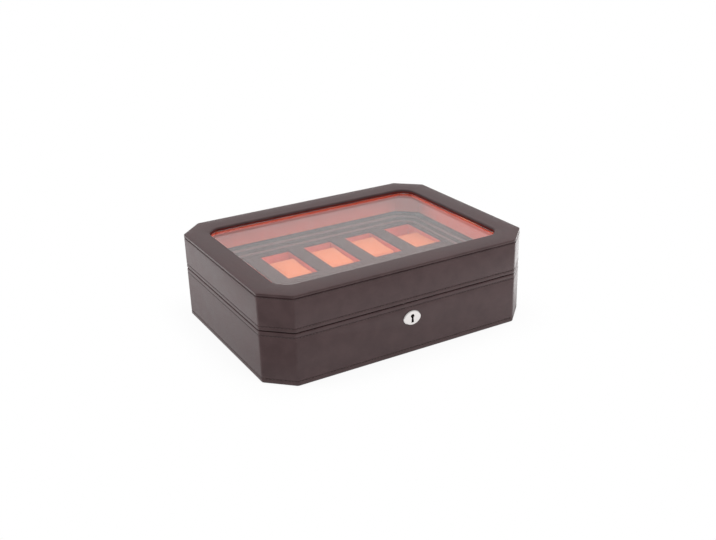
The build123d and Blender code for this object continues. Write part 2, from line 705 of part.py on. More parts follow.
def drawer_sides():
    """The two long sides, grooved for the runner strips."""
    groove_half = RUNNER_HEIGHT / 2 + RUNNER_CLEARANCE
    groove_y = OPENING_HALF - RUNNER_DEPTH - RUNNER_CLEARANCE
    sides = []
    for y_sign in (-1, 1):
        y_low, y_high = sorted((y_sign * DRAWER_INSIDE_HALF, y_sign * DRAWER_HALF))
        side = block(DRAWER_INNER_X, DRAWER_BACK_OF_FRONT, y_low, y_high, DRAWER_LOW, DRAWER_HIGH)
        cut_low, cut_high = sorted((y_sign * groove_y, y_sign * (DRAWER_HALF + OVERCUT)))
        side -= block(
            DRAWER_INNER_X - OVERCUT,
            DRAWER_BACK_OF_FRONT + OVERCUT,
            cut_low,
            cut_high,
            DRAWER_MID_Z - groove_half,
            DRAWER_MID_Z + groove_half,
        )
        sides.append(side)
    return sides


def drawer_inner_end():
    """The end of the drawer that stays inside the box."""
    half = DRAWER_INSIDE_HALF
    return block(DRAWER_INNER_X, DRAWER_INSIDE_X, -half, half, DRAWER_LOW, DRAWER_HIGH)


def drawer_bottom():
    """The drawer's floor."""
    half = DRAWER_INSIDE_HALF
    return block(DRAWER_INSIDE_X, DRAWER_BACK_OF_FRONT, -half, half, DRAWER_LOW, DRAWER_FLOOR)


def drawer_lining():
    """The open-topped lining inside the drawer."""
    half = DRAWER_INSIDE_HALF
    high = DRAWER_HIGH - DRAWER_LINING_DROP
    tray = block(DRAWER_INSIDE_X, DRAWER_BACK_OF_FRONT, -half, half, DRAWER_FLOOR, high)
    inside = half - LINING
    x_low = DRAWER_INSIDE_X + LINING
    x_high = DRAWER_BACK_OF_FRONT - LINING
    return tray - block(x_low, x_high, -inside, inside, DRAWER_LINED_FLOOR, high + OVERCUT)


def drawer_divider_places():
    """Where the two cross dividers stand: they split the lined length into three."""
    x_low = DRAWER_INSIDE_X + LINING
    length = DRAWER_BACK_OF_FRONT - LINING - x_low
    return [x_low + length / 3, x_low + 2 * length / 3]


def drawer_dividers():
    """Two cross dividers and one lengthwise between them."""
    inside = DRAWER_INSIDE_HALF - LINING
    high = DRAWER_HIGH - DRAWER_LINING_DROP - DRAWER_DIVIDER_DROP
    half = DRAWER_DIVIDER / 2
    places = drawer_divider_places()
    cross = [block(x - half, x + half, -inside, inside, DRAWER_LINED_FLOOR, high) for x in places]
    middle = block(places[0] + half, places[1] - half, -half, half, DRAWER_LINED_FLOOR, high)
    return cross + [middle]


def pull_tab():
    """A round-ended leather tab at the middle of the drawer front."""
    straight = TAB_REACH - TAB_WIDTH / 2
    tongue = Pos(END_FACE + straight / 2, 0) * Rectangle(straight, TAB_WIDTH)
    round_end = Pos(END_FACE + straight, 0) * Circle(TAB_WIDTH / 2)
    behind_face = Pos(END_FACE - TAB_WIDTH / 2, 0) * Rectangle(TAB_WIDTH, 2 * TAB_WIDTH)
    tab = extrude(tongue + round_end - behind_face, TAB_THICKNESS)
    return Pos(0, 0, DRAWER_MID_Z - TAB_THICKNESS / 2) * tab


# Pillows


def pillow_plan():
    """The plan: sides drawn in a little between rounded corners."""
    x = PILLOW_WIDTH / 2
    y = PILLOW_LENGTH / 2
    sides = [
        ThreePointArc((-x, -y), (0, PILLOW_WAIST - y), (x, -y)),
        ThreePointArc((x, -y), (x - PILLOW_WAIST, 0), (x, y)),
        ThreePointArc((x, y), (0, y - PILLOW_WAIST), (-x, y)),
        ThreePointArc((-x, y), (PILLOW_WAIST - x, 0), (-x, -y)),
    ]
    plan = make_face(Curve() + sides)
    return fillet(plan.vertices(), PILLOW_PLAN_ROUND)


def pillow_profile(length):
    """One upright profile: a crowned top, rounded shoulders and the flat foot that it rests on."""
    half = length / 2
    shoulder = PILLOW_TOP - PILLOW_CROWN
    outline = [
        Line((-half, PILLOW_LOW), (half, PILLOW_LOW)),
        Line((half, PILLOW_LOW), (half, shoulder)),
        ThreePointArc((half, shoulder), (0, PILLOW_TOP), (-half, shoulder)),
        Line((-half, shoulder), (-half, PILLOW_LOW)),
    ]
    profile = make_face(Curve() + outline)
    top = profile.vertices().filter_by(lambda point: abs(point.Y - shoulder) < SAME_PLACE)
    return fillet(top, PILLOW_TOP_ROUND)


def pillow():
    """A padded block: the crown along it and across it, and the drawn-in plan, together."""
    reach = max(PILLOW_LENGTH, CELL_LENGTH)
    along = extrude(Plane.YZ.offset(-reach / 2) * pillow_profile(PILLOW_LENGTH), reach)
    across = extrude(Plane.XZ.offset(-reach / 2) * pillow_profile(PILLOW_WIDTH), reach)
    plan = Pos(0, 0, PILLOW_LOW - OVERCUT) * extrude(pillow_plan(), PILLOW_HEIGHT + 2 * OVERCUT)
    return along & across & plan


def pillow_centre(x, y, place):
    """Where a pillow lies in its cell."""
    play = CELL_LENGTH - PILLOW_LENGTH - 2 * PILLOW_SIDE_CLEARANCE
    return Pos(x, y + play * (0.5 - place), 0)


def save_base():
    """Write what stays fixed when the lid or the drawer opens."""
    front, back, left, right, corners = base_boards()
    save("base_front_board", front)
    save("base_back_board", back)
    save("base_left_board", left)
    save("base_right_board", right)
    save("base_corner_boards", *corners)
    save("base_leather", base_leather())
    save("base_bottom_board", bottom_board())
    save("base_underside_pad", underside_pad())
    save("drawer_guides", *drawer_guides())
    save("runner_strips", *runner_strips())
    save("divider_board", divider_board())
    save("base_inner_frame", inner_frame())
    save("base_lip_lining", lip_lining())
    save("watch_tray_panel", tray_panel())
    save("cell_liners_front", *[cell_liner(x, y) for x, y in cell_centres(-1)])
    save("cell_liners_rear", *[cell_liner(x, y) for x, y in cell_centres(1)])


def save_lid():
    """Write the lid's own pieces."""
    front, back, sides, corners = lid_boards()
    save("lid_front_board", front)
    save("lid_back_board", back)
    save("lid_side_boards", *sides)
    save("lid_corner_boards", *corners)
    save("lid_top_frame", top_frame())
    save("lid_side_leather", lid_side_leather())
    save("lid_top_leather", lid_top_leather())
    save("window_lining", window_lining())
    save("lid_glass", glass_pane())
    save("glass_retainer", glass_retainer())
    save("lid_wall_lining", lid_wall_lining())


def save_hardware():
    """Write the hinges and the lock."""
    save("hinge_left_base_leaf", hinge_leaf(-HINGE_OFFSET, False))
    save("hinge_right_base_leaf", hinge_leaf(HINGE_OFFSET, False))
    save("hinge_left_lid_leaf", hinge_leaf(-HINGE_OFFSET, True))
    save("hinge_right_lid_leaf", hinge_leaf(HINGE_OFFSET, True))
    save("hinge_pins", hinge_pin(-HINGE_OFFSET), hinge_pin(HINGE_OFFSET))
    save("base_hinge_screws", *hinge_screws(RIM_TOP, -1))
    save("lid_hinge_screws", *hinge_screws(LID_LOW, 1))
    save("keyhole_escutcheon", escutcheon())
    save("lock_case", lock_case())
    save("lock_drill_pin", drill_pin())
    save("lock_selvedge_plate", selvedge_plate())
    save("lock_screws", *lock_screws(RIM_TOP, -1))
    save("lid_hasp", hasp())
    save("hasp_screws", *lock_screws(LID_LOW, 1))
    save("lock_bolt", lock_bolt())


def save_drawer():
    """Write the drawer."""
    board, leather = drawer_front()
    save("drawer_front_board", board)
    save("drawer_front_leather", leather)
    save("drawer_sides", *drawer_sides())
    save("drawer_inner_end", drawer_inner_end())
    save("drawer_bottom", drawer_bottom())
    save("drawer_lining", drawer_lining())
    save("drawer_dividers", *drawer_dividers())
    save("drawer_pull_tab", pull_tab())


def save_pillows():
    """Write one node for each pillow, front row first, from the left."""
    shape = pillow()
    for row, row_name in ((-1, "front"), (1, "rear")):
        for column, (x, y) in enumerate(cell_centres(row)):
            save(f"pillow_{row_name}_{column + 1}", pillow_centre(x, y, PILLOW_PLACES[column]) * shape)


if __name__ == "__main__":
    os.makedirs("parts", exist_ok=True)
    save_base()
    save_lid()
    save_hardware()
    save_drawer()
    save_pillows()
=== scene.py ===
import json
import logging
import math
from dataclasses import dataclass, field
from enum import Enum
from typing import Callable, Iterable

import bmesh
import bpy
from mathutils import Matrix, Vector

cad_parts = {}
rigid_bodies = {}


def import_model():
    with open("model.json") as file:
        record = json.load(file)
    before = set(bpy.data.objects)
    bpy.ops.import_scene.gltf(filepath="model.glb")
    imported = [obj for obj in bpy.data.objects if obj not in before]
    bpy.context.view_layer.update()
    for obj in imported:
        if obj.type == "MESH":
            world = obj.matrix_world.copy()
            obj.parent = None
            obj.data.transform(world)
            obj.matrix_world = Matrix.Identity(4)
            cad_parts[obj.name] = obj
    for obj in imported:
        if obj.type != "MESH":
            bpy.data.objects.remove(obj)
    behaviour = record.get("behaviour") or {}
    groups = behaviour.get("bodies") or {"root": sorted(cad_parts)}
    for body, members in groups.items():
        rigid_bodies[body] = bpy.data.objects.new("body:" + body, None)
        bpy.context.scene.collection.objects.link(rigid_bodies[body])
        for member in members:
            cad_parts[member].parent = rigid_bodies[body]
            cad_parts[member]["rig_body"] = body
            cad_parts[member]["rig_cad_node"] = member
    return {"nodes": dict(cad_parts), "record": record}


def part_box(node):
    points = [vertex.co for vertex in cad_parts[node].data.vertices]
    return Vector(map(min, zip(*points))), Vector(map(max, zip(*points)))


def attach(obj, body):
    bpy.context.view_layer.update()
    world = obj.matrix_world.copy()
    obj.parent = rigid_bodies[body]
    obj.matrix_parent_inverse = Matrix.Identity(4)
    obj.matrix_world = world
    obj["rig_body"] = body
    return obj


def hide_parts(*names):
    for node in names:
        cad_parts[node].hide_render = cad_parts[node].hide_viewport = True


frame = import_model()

# A leather-covered watch box with a glass lid, ten padded watch pillows and a drawer in one end.
# Metres, in the model's own frame: X along the front, -Y out of the front, Z up.

MM = 0.001
LOG = logging.getLogger("watch_box")

# A colour, or a place in metres.
Triple = tuple[float, float, float]


class Pick(Enum):
    """What a selection in edit mode picks."""

    VERTS = "VERT"
    EDGES = "EDGE"
    FACES = "FACE"


class Body(Enum):
    """The moving bodies that new pieces ride on."""

    BASE = "base"
    LID = "lid"


class Slot(Enum):
    """The record's material slots."""

    LEATHER = "brown_leather"
    LINING = "orange_lining"
    PILLOW = "pillow_cover"
    BOARD = "board"
    GLASS = "glass"
    CHROME = "polished_chrome"
    STEEL = "lock_steel"
    FELT = "underside_felt"


# Shader maths


class Term:
    """A number that varies over a surface, whose Python operators add Math nodes."""

    def __init__(self, recipe: "Recipe", socket: bpy.types.NodeSocket) -> None:
        """Wrap a socket of a recipe."""
        self.recipe = recipe
        self.socket = socket

    def __add__(self, other: "Term | float") -> "Term":
        """Sum."""
        return self.recipe.math("ADD", self, other)

    def __radd__(self, other: float) -> "Term":
        """Sum, the number first."""
        return self.recipe.math("ADD", other, self)

    def __sub__(self, other: "Term | float") -> "Term":
        """Difference."""
        return self.recipe.math("SUBTRACT", self, other)

    def __rsub__(self, other: float) -> "Term":
        """Difference, the number first."""
        return self.recipe.math("SUBTRACT", other, self)

    def __mul__(self, other: "Term | float") -> "Term":
        """Product."""
        return self.recipe.math("MULTIPLY", self, other)

    def __rmul__(self, other: float) -> "Term":
        """Product, the number first."""
        return self.recipe.math("MULTIPLY", other, self)

    def __pow__(self, other: float) -> "Term":
        """Power."""
        return self.recipe.math("POWER", self, other)

    def clamped(self) -> "Term":
        """The number held between 0 and 1."""
        made = self.recipe.node("ShaderNodeClamp", {}, {"Value": self})
        return Term(self.recipe, made.outputs[0])

    def at_least(self, other: "Term | float") -> "Term":
        """The larger of two numbers."""
        return self.recipe.math("MAXIMUM", self, other)

    def step(self, low: float, high: float) -> "Term":
        """A smooth step from 0 at low to 1 at high.

        Args:
            low: the number that becomes 0.
            high: the number that becomes 1.

        Returns:
            The stepped number.
        """
        sockets = {"Value": self, "From Min": low, "From Max": high}
        made = self.recipe.node("ShaderNodeMapRange", {"interpolation_type": "SMOOTHSTEP"}, sockets)
        return Term(self.recipe, made.outputs[0])


class Recipe:
    """The node tree of one material or world."""

    def __init__(self, name: str, is_world: bool = False) -> None:
        """Start an empty material, or an empty world."""
        self.is_world = is_world
        self.owner = (bpy.data.worlds if is_world else bpy.data.materials).new(name)
        self.owner.use_nodes = True
        self.tree = self.owner.node_tree
        self.tree.nodes.clear()

    def node(
        self, kind: str, settings: dict[str, object], sockets: dict[str | int, object],
    ) -> bpy.types.Node:
        """Add any node.

        Args:
            kind: the node's type.
            settings: its properties, set before its sockets; "stops" fills a colour ramp.
            sockets: values or links for its inputs.

        Returns:
            The node.
        """
        made = self.tree.nodes.new(kind)
        for key, value in settings.items():
            if key == "stops":
                self._fill_ramp(made.color_ramp, value)
            else:
                setattr(made, key, value)
        for key, value in sockets.items():
            self.feed(made.inputs[key], value)
        return made

    def _fill_ramp(self, ramp: bpy.types.ColorRamp, stops: list[tuple[float, Triple]]) -> None:
        """Give a colour ramp its stops."""
        while len(ramp.elements) < len(stops):
            ramp.elements.new(0.5)
        for element, (place, colour) in zip(ramp.elements, stops):
            element.position = place
            element.color = (*colour, 1.0)

    def feed(self, socket: bpy.types.NodeSocket, value: object) -> None:
        """Link a term or socket into an input, or set its value."""
        if isinstance(value, Term):
            self.tree.links.new(value.socket, socket)
        elif isinstance(value, bpy.types.NodeSocket):
            self.tree.links.new(value, socket)
        else:
            socket.default_value = value

    def math(self, operation: str, first: Term | float, second: Term | float) -> Term:
        """One Math node on two numbers."""
        made = self.node("ShaderNodeMath", {"operation": operation}, {0: first, 1: second})
        return Term(self, made.outputs[0])

    def place(self, stretch: Triple = (1.0, 1.0, 1.0)) -> bpy.types.NodeSocket:
        """Object coordinates, stretched by a Mapping node."""
        coordinates = self.node("ShaderNodeTexCoord", {}, {}).outputs["Object"]
        return self.node("ShaderNodeMapping", {}, {"Vector": coordinates, "Scale": stretch}).outputs[0]

    def noise(self, scale: float, detail: float, stretch: Triple = (1.0, 1.0, 1.0)) -> Term:
        """Noise on object coordinates.

        Args:
            scale: cells per metre.
            detail: how many finer layers it has.
            stretch: how the coordinates are scaled on each axis.

        Returns:
            The noise, about 0.3 to 0.7.
        """
        sockets = {"Vector": self.place(stretch), "Scale": scale, "Detail": detail}
        return Term(self, self.node("ShaderNodeTexNoise", {}, sockets).outputs[0])

    def cracks(self, scale: float) -> Term:
        """Distance to the edge of pebble-like cells, with the given number of cells per metre."""
        settings = {"feature": "DISTANCE_TO_EDGE"}
        made = self.node("ShaderNodeTexVoronoi", settings, {"Vector": self.place(), "Scale": scale})
        return Term(self, made.outputs["Distance"])

    def blend(self, share: Term, first: Triple, second: Triple) -> bpy.types.NodeSocket:
        """A colour between two, by a share that varies."""
        sockets = {0: share, 6: (*first, 1.0), 7: (*second, 1.0)}
        return self.node("ShaderNodeMix", {"data_type": "RGBA"}, sockets).outputs[2]

    def bump(self, height: Term, distance: float, strength: float) -> bpy.types.NodeSocket:
        """A bump of the given depth in metres."""
        sockets = {"Height": height, "Distance": distance, "Strength": strength}
        return self.node("ShaderNodeBump", {}, sockets).outputs[0]

    def principled(self, sockets: dict[str, object]) -> None:
        """The main shader, linked to the output."""
        self.finish(self.node("ShaderNodeBsdfPrincipled", {}, sockets).outputs[0])

    def finish(self, surface: bpy.types.NodeSocket) -> None:
        """Link a shader to the output."""
        kind = "ShaderNodeOutputWorld" if self.is_world else "ShaderNodeOutputMaterial"
        self.node(kind, {}, {"Surface": surface})

    def ray(self, kind: str) -> Term:
        """1 for rays of a kind, such as Camera or Glossy, and 0 for others."""
        return Term(self, self.node("ShaderNodeLightPath", {}, {}).outputs[f"Is {kind} Ray"])

    def mix(self, share: Term, first: bpy.types.Node, second: bpy.types.Node) -> None:
        """Finish with two shaders mixed by a share."""
        sockets = {0: share, 1: first.outputs[0], 2: second.outputs[0]}
        self.finish(self.node("ShaderNodeMixShader", {}, sockets).outputs[0])


# Finishes


@dataclass(frozen=True)
class Leather:
    """Smooth brown hide with a fine pebble grain and a satin coat."""

    name: str = "brown_leather"
    specular: float = 0.37
    colour: Triple = (0.040, 0.0190, 0.0200)
    worn: Triple = (0.062, 0.034, 0.035)
    grain_per_metre: float = 950.0
    pore_per_metre: float = 2600.0
    roughness: float = 0.40
    grain_depth: float = 0.10 * MM

    def material(self) -> bpy.types.Material:
        """Build the leather's material."""
        recipe = Recipe(self.name)
        warp = recipe.noise(60.0, 3.0)
        pebbles = recipe.cracks(self.grain_per_metre).step(0.0, 0.30)
        pores = recipe.noise(self.pore_per_metre, 2.0)
        patches = (warp * 0.75 + recipe.noise(9.0, 2.0) * 0.5).step(0.42, 0.86)
        height = pebbles * 0.55 + pores * 0.45 + warp * 1.2
        colour = recipe.blend((patches * 0.7 + pebbles * 0.2).clamped(), self.colour, self.worn)
        recipe.principled({
            "Base Color": colour,
            "Roughness": self.roughness - 0.07 + patches * 0.08 + (1.0 - pebbles) * 0.08,
            "Specular IOR Level": self.specular,
            "Normal": recipe.bump(height, self.grain_depth, 0.55),
        })
        return recipe.owner


@dataclass(frozen=True)
class BrushedCloth:
    """Soft brushed cover or lining with a short nap."""

    name: str
    colour: Triple
    shaded: Triple
    nap_per_metre: float = 2200.0
    nap_depth: float = 0.12 * MM
    sheen: float = 0.25

    def material(self) -> bpy.types.Material:
        """Build the cloth's material."""
        recipe = Recipe(self.name)
        nap = recipe.noise(self.nap_per_metre, 4.0, (1.0, 0.55, 1.0))
        strokes = recipe.noise(70.0, 3.0, (1.0, 0.4, 1.0))
        share = (nap * 0.9 + strokes * 0.9 - 0.4).clamped()
        recipe.principled({
            "Base Color": recipe.blend(share, self.shaded, self.colour),
            "Roughness": 0.82 + nap * 0.2,
            "Sheen Weight": self.sheen,
            "Sheen Roughness": 0.5,
            "Sheen Tint": (*self.colour, 1.0),
            "Specular IOR Level": 0.25,
            "Normal": recipe.bump(nap, self.nap_depth, 0.6),
        })
        return recipe.owner


@dataclass(frozen=True)
class StainedBoard:
    """Dark stained board with straight grain along X."""

    colour: Triple = (0.070, 0.036, 0.020)
    dark: Triple = (0.028, 0.014, 0.008)

    def material(self) -> bpy.types.Material:
        """Build the board's material."""
        recipe = Recipe("stained_board")
        rings = recipe.noise(70.0, 5.0, (0.12, 1.0, 1.0))
        pores = recipe.noise(900.0, 2.0, (0.05, 1.0, 1.0))
        share = (rings * 1.6 + pores * 0.5 - 0.6).clamped()
        recipe.principled({
            "Base Color": recipe.blend(share, self.dark, self.colour),
            "Roughness": 0.46 + pores * 0.2,
            "Normal": recipe.bump(pores, 0.08 * MM, 0.5),
        })
        return recipe.owner


@dataclass(frozen=True)
class Metal:
    """A polished or brushed metal."""

    name: str
    colour: Triple
    roughness: float
    streaks: Triple = (1.0, 1.0, 1.0)
    streak_depth: float = 0.004 * MM

    def material(self) -> bpy.types.Material:
        """Build the metal's material."""
        recipe = Recipe(self.name)
        smears = recipe.noise(140.0, 4.0)
        lines = recipe.noise(1800.0, 3.0, self.streaks)
        recipe.principled({
            "Base Color": (*self.colour, 1.0),
            "Metallic": 1.0,
            "Roughness": self.roughness * 0.6 + smears * self.roughness * 0.8,
            "Normal": recipe.bump(lines, self.streak_depth, 0.4),
        })
        return recipe.owner


@dataclass(frozen=True)
class Felt:
    """Dark matted felt."""

    colour: Triple = (0.030, 0.021, 0.019)
    pale: Triple = (0.060, 0.045, 0.040)

    def material(self) -> bpy.types.Material:
        """Build the felt's material."""
        recipe = Recipe("underside_felt")
        fibres = recipe.noise(1500.0, 6.0)
        recipe.principled({
            "Base Color": recipe.blend((fibres * 2.4 - 0.7).clamped(), self.colour, self.pale),
            "Roughness": 0.9 + fibres * 0.1,
            "Sheen Weight": 0.2,
            "Normal": recipe.bump(fibres, 0.25 * MM, 0.8),
        })
        return recipe.owner


@dataclass(frozen=True)
class ClearGlass:
    """Clear float glass that lets lamp light through to what is under it."""

    colour: Triple = (0.985, 0.992, 0.990)
    refraction: float = 1.50

    def material(self) -> bpy.types.Material:
        """Build the glass's material."""
        recipe = Recipe("clear_glass")
        dust = recipe.noise(420.0, 4.0).step(0.62, 0.80)
        glass = recipe.node("ShaderNodeBsdfPrincipled", {}, {
            "Base Color": (*self.colour, 1.0),
            "Roughness": dust * 0.03,
            "Transmission Weight": 1.0,
            "IOR": self.refraction,
        })
        clear = recipe.node("ShaderNodeBsdfTransparent", {}, {"Color": (*self.colour, 1.0)})
        recipe.mix(recipe.ray("Shadow").at_least(recipe.ray("Diffuse")), glass, clear)
        return recipe.owner


@dataclass(frozen=True)
class Thread:
    """Waxed brown stitching thread with a twist."""

    colour: Triple = (0.075, 0.052, 0.050)

    def material(self) -> bpy.types.Material:
        """Build the thread's material."""
        recipe = Recipe("stitching_thread")
        twist = recipe.noise(5200.0, 1.0, (1.0, 1.0, 2.4))
        shaded = tuple(part * 0.6 for part in self.colour)
        recipe.principled({
            "Base Color": recipe.blend(twist.step(0.35, 0.65), shaded, self.colour),
            "Roughness": 0.5 + twist * 0.2,
            "Normal": recipe.bump(twist, 0.06 * MM, 0.7),
        })
        return recipe.owner


class Finishes:
    """Every material, built once."""

    def __init__(self) -> None:
        """Build the materials."""
        self.leather = Leather().material()
        self.tray_leather = Leather(
            "tray_leather", 0.10, (0.072, 0.028, 0.026), (0.095, 0.042, 0.040), roughness=0.58,
        ).material()
        # Pale leather of the lip, also used as a painted highlight round the tray ledge's inside.
        self.lip_leather_and_painted_highlight = Leather(
            "lip_leather_and_painted_highlight", 0.10, (0.260, 0.130, 0.125), (0.310, 0.165, 0.155), roughness=0.58,
        ).material()
        self.lining = BrushedCloth("orange_lining", (0.92, 0.150, 0.092), (0.74, 0.110, 0.062)).material()
        self.pillow = BrushedCloth("pillow_cover", (0.92, 0.270, 0.115), (0.80, 0.200, 0.080)).material()
        # Dark red of the band round the window: painted shade for the lining in shade under the frame.
        self.trim = BrushedCloth("window_painted_shade_band", (0.120, 0.020, 0.017), (0.080, 0.013, 0.011)).material()
        self.board = StainedBoard().material()
        self.chrome = Metal("polished_chrome", (0.60, 0.575, 0.565), 0.12).material()
        self.steel = Metal("lock_steel", (0.36, 0.35, 0.34), 0.34, (0.06, 1.0, 1.0), 0.02 * MM).material()
        self.felt = Felt().material()
        self.glass = ClearGlass().material()
        self.thread = Thread().material()

    def of_slot(self, slot: str) -> bpy.types.Material:
        """The material that a slot of the record is dressed in."""
        return {
            Slot.LEATHER: self.leather,
            Slot.LINING: self.lining,
            Slot.PILLOW: self.pillow,
            Slot.BOARD: self.board,
            Slot.GLASS: self.glass,
            Slot.CHROME: self.chrome,
            Slot.STEEL: self.steel,
            Slot.FELT: self.felt,
        }[Slot(slot)]


# Modelling by hand


@dataclass(frozen=True)
class Plan:
    """An eight-sided plan: a rectangle with its four corners cut off."""

    width: float
    depth: float
    cut_x: float
    cut_y: float

    def inset(self, wall: float) -> "Plan":
        """The plan with every side moved in by the same wall."""
        slant = math.hypot(self.cut_x, self.cut_y)
        lost_x = wall * (1 - (slant - self.cut_x) / self.cut_y)
        lost_y = wall * (1 - (slant - self.cut_y) / self.cut_x)
        return Plan(self.width - 2 * wall, self.depth - 2 * wall, self.cut_x - lost_x, self.cut_y - lost_y)

    def sides(self) -> list[tuple[Vector, Vector]]:
        """The eight sides as pairs of points, anticlockwise seen from above."""
        x, y = self.width / 2, self.depth / 2
        corners = [
            (self.cut_x - x, -y), (x - self.cut_x, -y), (x, self.cut_y - y), (x, y - self.cut_y),
            (x - self.cut_x, y), (self.cut_x - x, y), (-x, y - self.cut_y), (-x, self.cut_y - y),
        ]
        points = [Vector((*corner, 0.0)) for corner in corners]
        return [(points[i], points[(i + 1) % len(points)]) for i in range(len(points))]

    def depth_inside(self, point: Vector) -> float:
        """How far a point is inside the nearest side, negative outside."""
        depths = []
        for start, end in self.sides():
            along = (end - start).normalized()
            depths.append((point - start).dot(Vector((-along.y, along.x, 0.0))))
        return min(depths)


class Workpiece:
    """A mesh under the hand: selection by place, edit operators and finishing."""

    def __init__(self, name: str) -> None:
        """Take the object that was just added."""
        self.obj = bpy.context.active_object
        self.obj.name = name
        self.obj.data.name = name

    @staticmethod
    def clear_bench() -> None:
        """Leave edit mode and deselect everything."""
        if bpy.context.object and bpy.context.object.mode != "OBJECT":
            bpy.ops.object.mode_set(mode="OBJECT")
        bpy.ops.object.select_all(action="DESELECT")

    @classmethod
    def block(cls, name: str, low: Iterable[float], high: Iterable[float]) -> "Workpiece":
        """A cube between two corners.

        Args:
            name: the piece's name.
            low: its lowest corner.
            high: its highest corner.

        Returns:
            The workpiece.
        """
        low, high = Vector(low), Vector(high)
        cls.clear_bench()
        bpy.ops.mesh.primitive_cube_add(size=1.0, location=(low + high) / 2, scale=high - low)
        piece = cls(name)
        piece.apply_place()
        return piece

    @classmethod
    def eight_sided(cls, name: str, plan: Plan, low: float, high: float) -> "Workpiece":
        """A block with its four upright corners bisected off.

        Args:
            name: the piece's name.
            plan: its plan.
            low: the height of its underside.
            high: the height of its top.

        Returns:
            The workpiece.
        """
        half_x, half_y = plan.width / 2, plan.depth / 2
        piece = cls.block(name, (-half_x, -half_y, low), (half_x, half_y, high))
        with piece.editing():
            for sign_x in (-1, 1):
                for sign_y in (-1, 1):
                    bpy.ops.mesh.select_all(action="SELECT")
                    point = (sign_x * (half_x - plan.cut_x), sign_y * half_y, 0.0)
                    normal = (sign_x * plan.cut_y, sign_y * plan.cut_x, 0.0)
                    bpy.ops.mesh.bisect(plane_co=point, plane_no=normal, clear_outer=True, use_fill=True)
        return piece

    def editing(self) -> "Editing":
        """Edit mode on this piece, for a with block."""
        return Editing(self.obj)

    def apply_place(self) -> None:
        """Put the object's place, turn and scale into its mesh."""
        self.activate()
        bpy.ops.object.transform_apply(location=True, rotation=True, scale=True)

    def activate(self) -> None:
        """Make this piece the only selected one."""
        self.clear_bench()
        self.obj.select_set(True)
        bpy.context.view_layer.objects.active = self.obj

    def select(self, pick: Pick, test: Callable[[Vector, Vector], bool]) -> None:
        """Select parts of the mesh in edit mode by their middle and their direction.

        Args:
            pick: vertices, edges or faces.
            test: given a part's middle and its normal (an edge's own direction), says whether it is taken.
        """
        bpy.ops.mesh.select_mode(type=pick.value)
        bpy.ops.mesh.select_all(action="DESELECT")
        mesh = bmesh.from_edit_mesh(self.obj.data)
        if pick is Pick.VERTS:
            parts = [(part, part.co, part.normal) for part in mesh.verts]
        elif pick is Pick.EDGES:
            ends = [(part, part.verts[0].co, part.verts[1].co) for part in mesh.edges]
            parts = [(part, (first + last) / 2, (last - first).normalized()) for part, first, last in ends]
        else:
            parts = [(part, part.calc_center_median(), part.normal) for part in mesh.faces]
        for part, middle, normal in parts:
            if test(middle, normal):
                part.select_set(True)
        mesh.select_flush_mode()
        bmesh.update_edit_mesh(self.obj.data)

    def round_upright_edges(self, radius: float, segments: int) -> None:
        """Bevel every edge that stands upright."""
        with self.editing():
            self.select(Pick.EDGES, lambda middle, along: abs(along.z) > 0.99)
            bpy.ops.mesh.bevel(offset=radius, segments=segments, affect="EDGES")

    def round_level_edges(
        self, z: float, radius: float, segments: int, test: Callable[[Vector], bool] | None = None,
    ) -> None:
        """Bevel the edges that lie flat at one height, where the test allows.

        Args:
            z: the height.
            radius: how far the bevel reaches.
            segments: how many faces it has.
            test: given an edge's middle, says whether it is bevelled; None bevels all.
        """
        near = 0.02 * MM
        with self.editing():
            self.select(
                Pick.EDGES,
                lambda middle, along: abs(middle.z - z) < near
                and abs(along.z) < 0.01
                and (test is None or test(middle)),
            )
            bpy.ops.mesh.bevel(offset=radius, segments=segments, affect="EDGES")

    def groove(self, z: float, width: float, depth: float) -> None:
        """Press a shallow groove round the upright walls at one height.

        Args:
            z: the height of the groove's bottom.
            width: from lip to lip.
            depth: how far the bottom goes in.
        """
        near = 0.005 * MM
        # Shares of the width across the groove, each with its share of the depth.
        lines = ((-0.5, 0.0), (-0.28, 0.45), (0.0, 1.0), (0.28, 0.45), (0.5, 0.0))
        with self.editing():
            for drop, _ in lines:
                bpy.ops.mesh.select_mode(type="VERT")
                bpy.ops.mesh.select_all(action="SELECT")
                bpy.ops.mesh.bisect(plane_co=(0.0, 0.0, z + drop * width), plane_no=(0.0, 0.0, 1.0))
            for drop, share in lines:
                level = z + drop * width
                self.select(Pick.VERTS, lambda middle, normal: abs(middle.z - level) < near)
                if share:
                    bpy.ops.transform.shrink_fatten(value=-share * depth)

    def modify(self, kind: str, **settings: object) -> None:
        """Add a modifier with the given settings and apply it."""
        modifier = self.obj.modifiers.new(kind.lower(), kind)
        for key, value in settings.items():
            setattr(modifier, key, value)
        self.activate()
        bpy.ops.object.modifier_apply(modifier=modifier.name)

    def cut(self, cutter: "Workpiece") -> "Workpiece":
        """Take another piece's shape out of this one, and remove the cutter."""
        return self._combine(cutter, "DIFFERENCE")

    def fuse(self, other: "Workpiece") -> "Workpiece":
        """Add another piece's shape to this one, and remove it."""
        return self._combine(other, "UNION")

    def _combine(self, other: "Workpiece", operation: str) -> "Workpiece":
        """Apply a boolean with another piece and remove it."""
        self.modify("BOOLEAN", operation=operation, solver="EXACT", object=other.obj)
        bpy.data.objects.remove(other.obj)
        return self

    def thicken(self, thickness: float) -> None:
        """Give an open sheet its thickness, inwards."""
        with self.editing():
            bpy.ops.mesh.select_all(action="SELECT")
            bpy.ops.mesh.normals_make_consistent(inside=False)
        self.modify("SOLIDIFY", thickness=thickness, offset=-1.0, use_even_offset=True)

    def join(self, others: list["Workpiece"]) -> "Workpiece":
        """Join other pieces into this one's mesh."""
        self.activate()
        for other in others:
            other.obj.select_set(True)
        bpy.ops.object.join()
        return self

    def copy(self, name: str) -> "Workpiece":
        """A copy with its own mesh."""
        self.activate()
        bpy.ops.object.duplicate()
        return Workpiece(name)

    def move(self, offset: Iterable[float]) -> None:
        """Move the mesh."""
        self.obj.data.transform(Matrix.Translation(Vector(offset)))

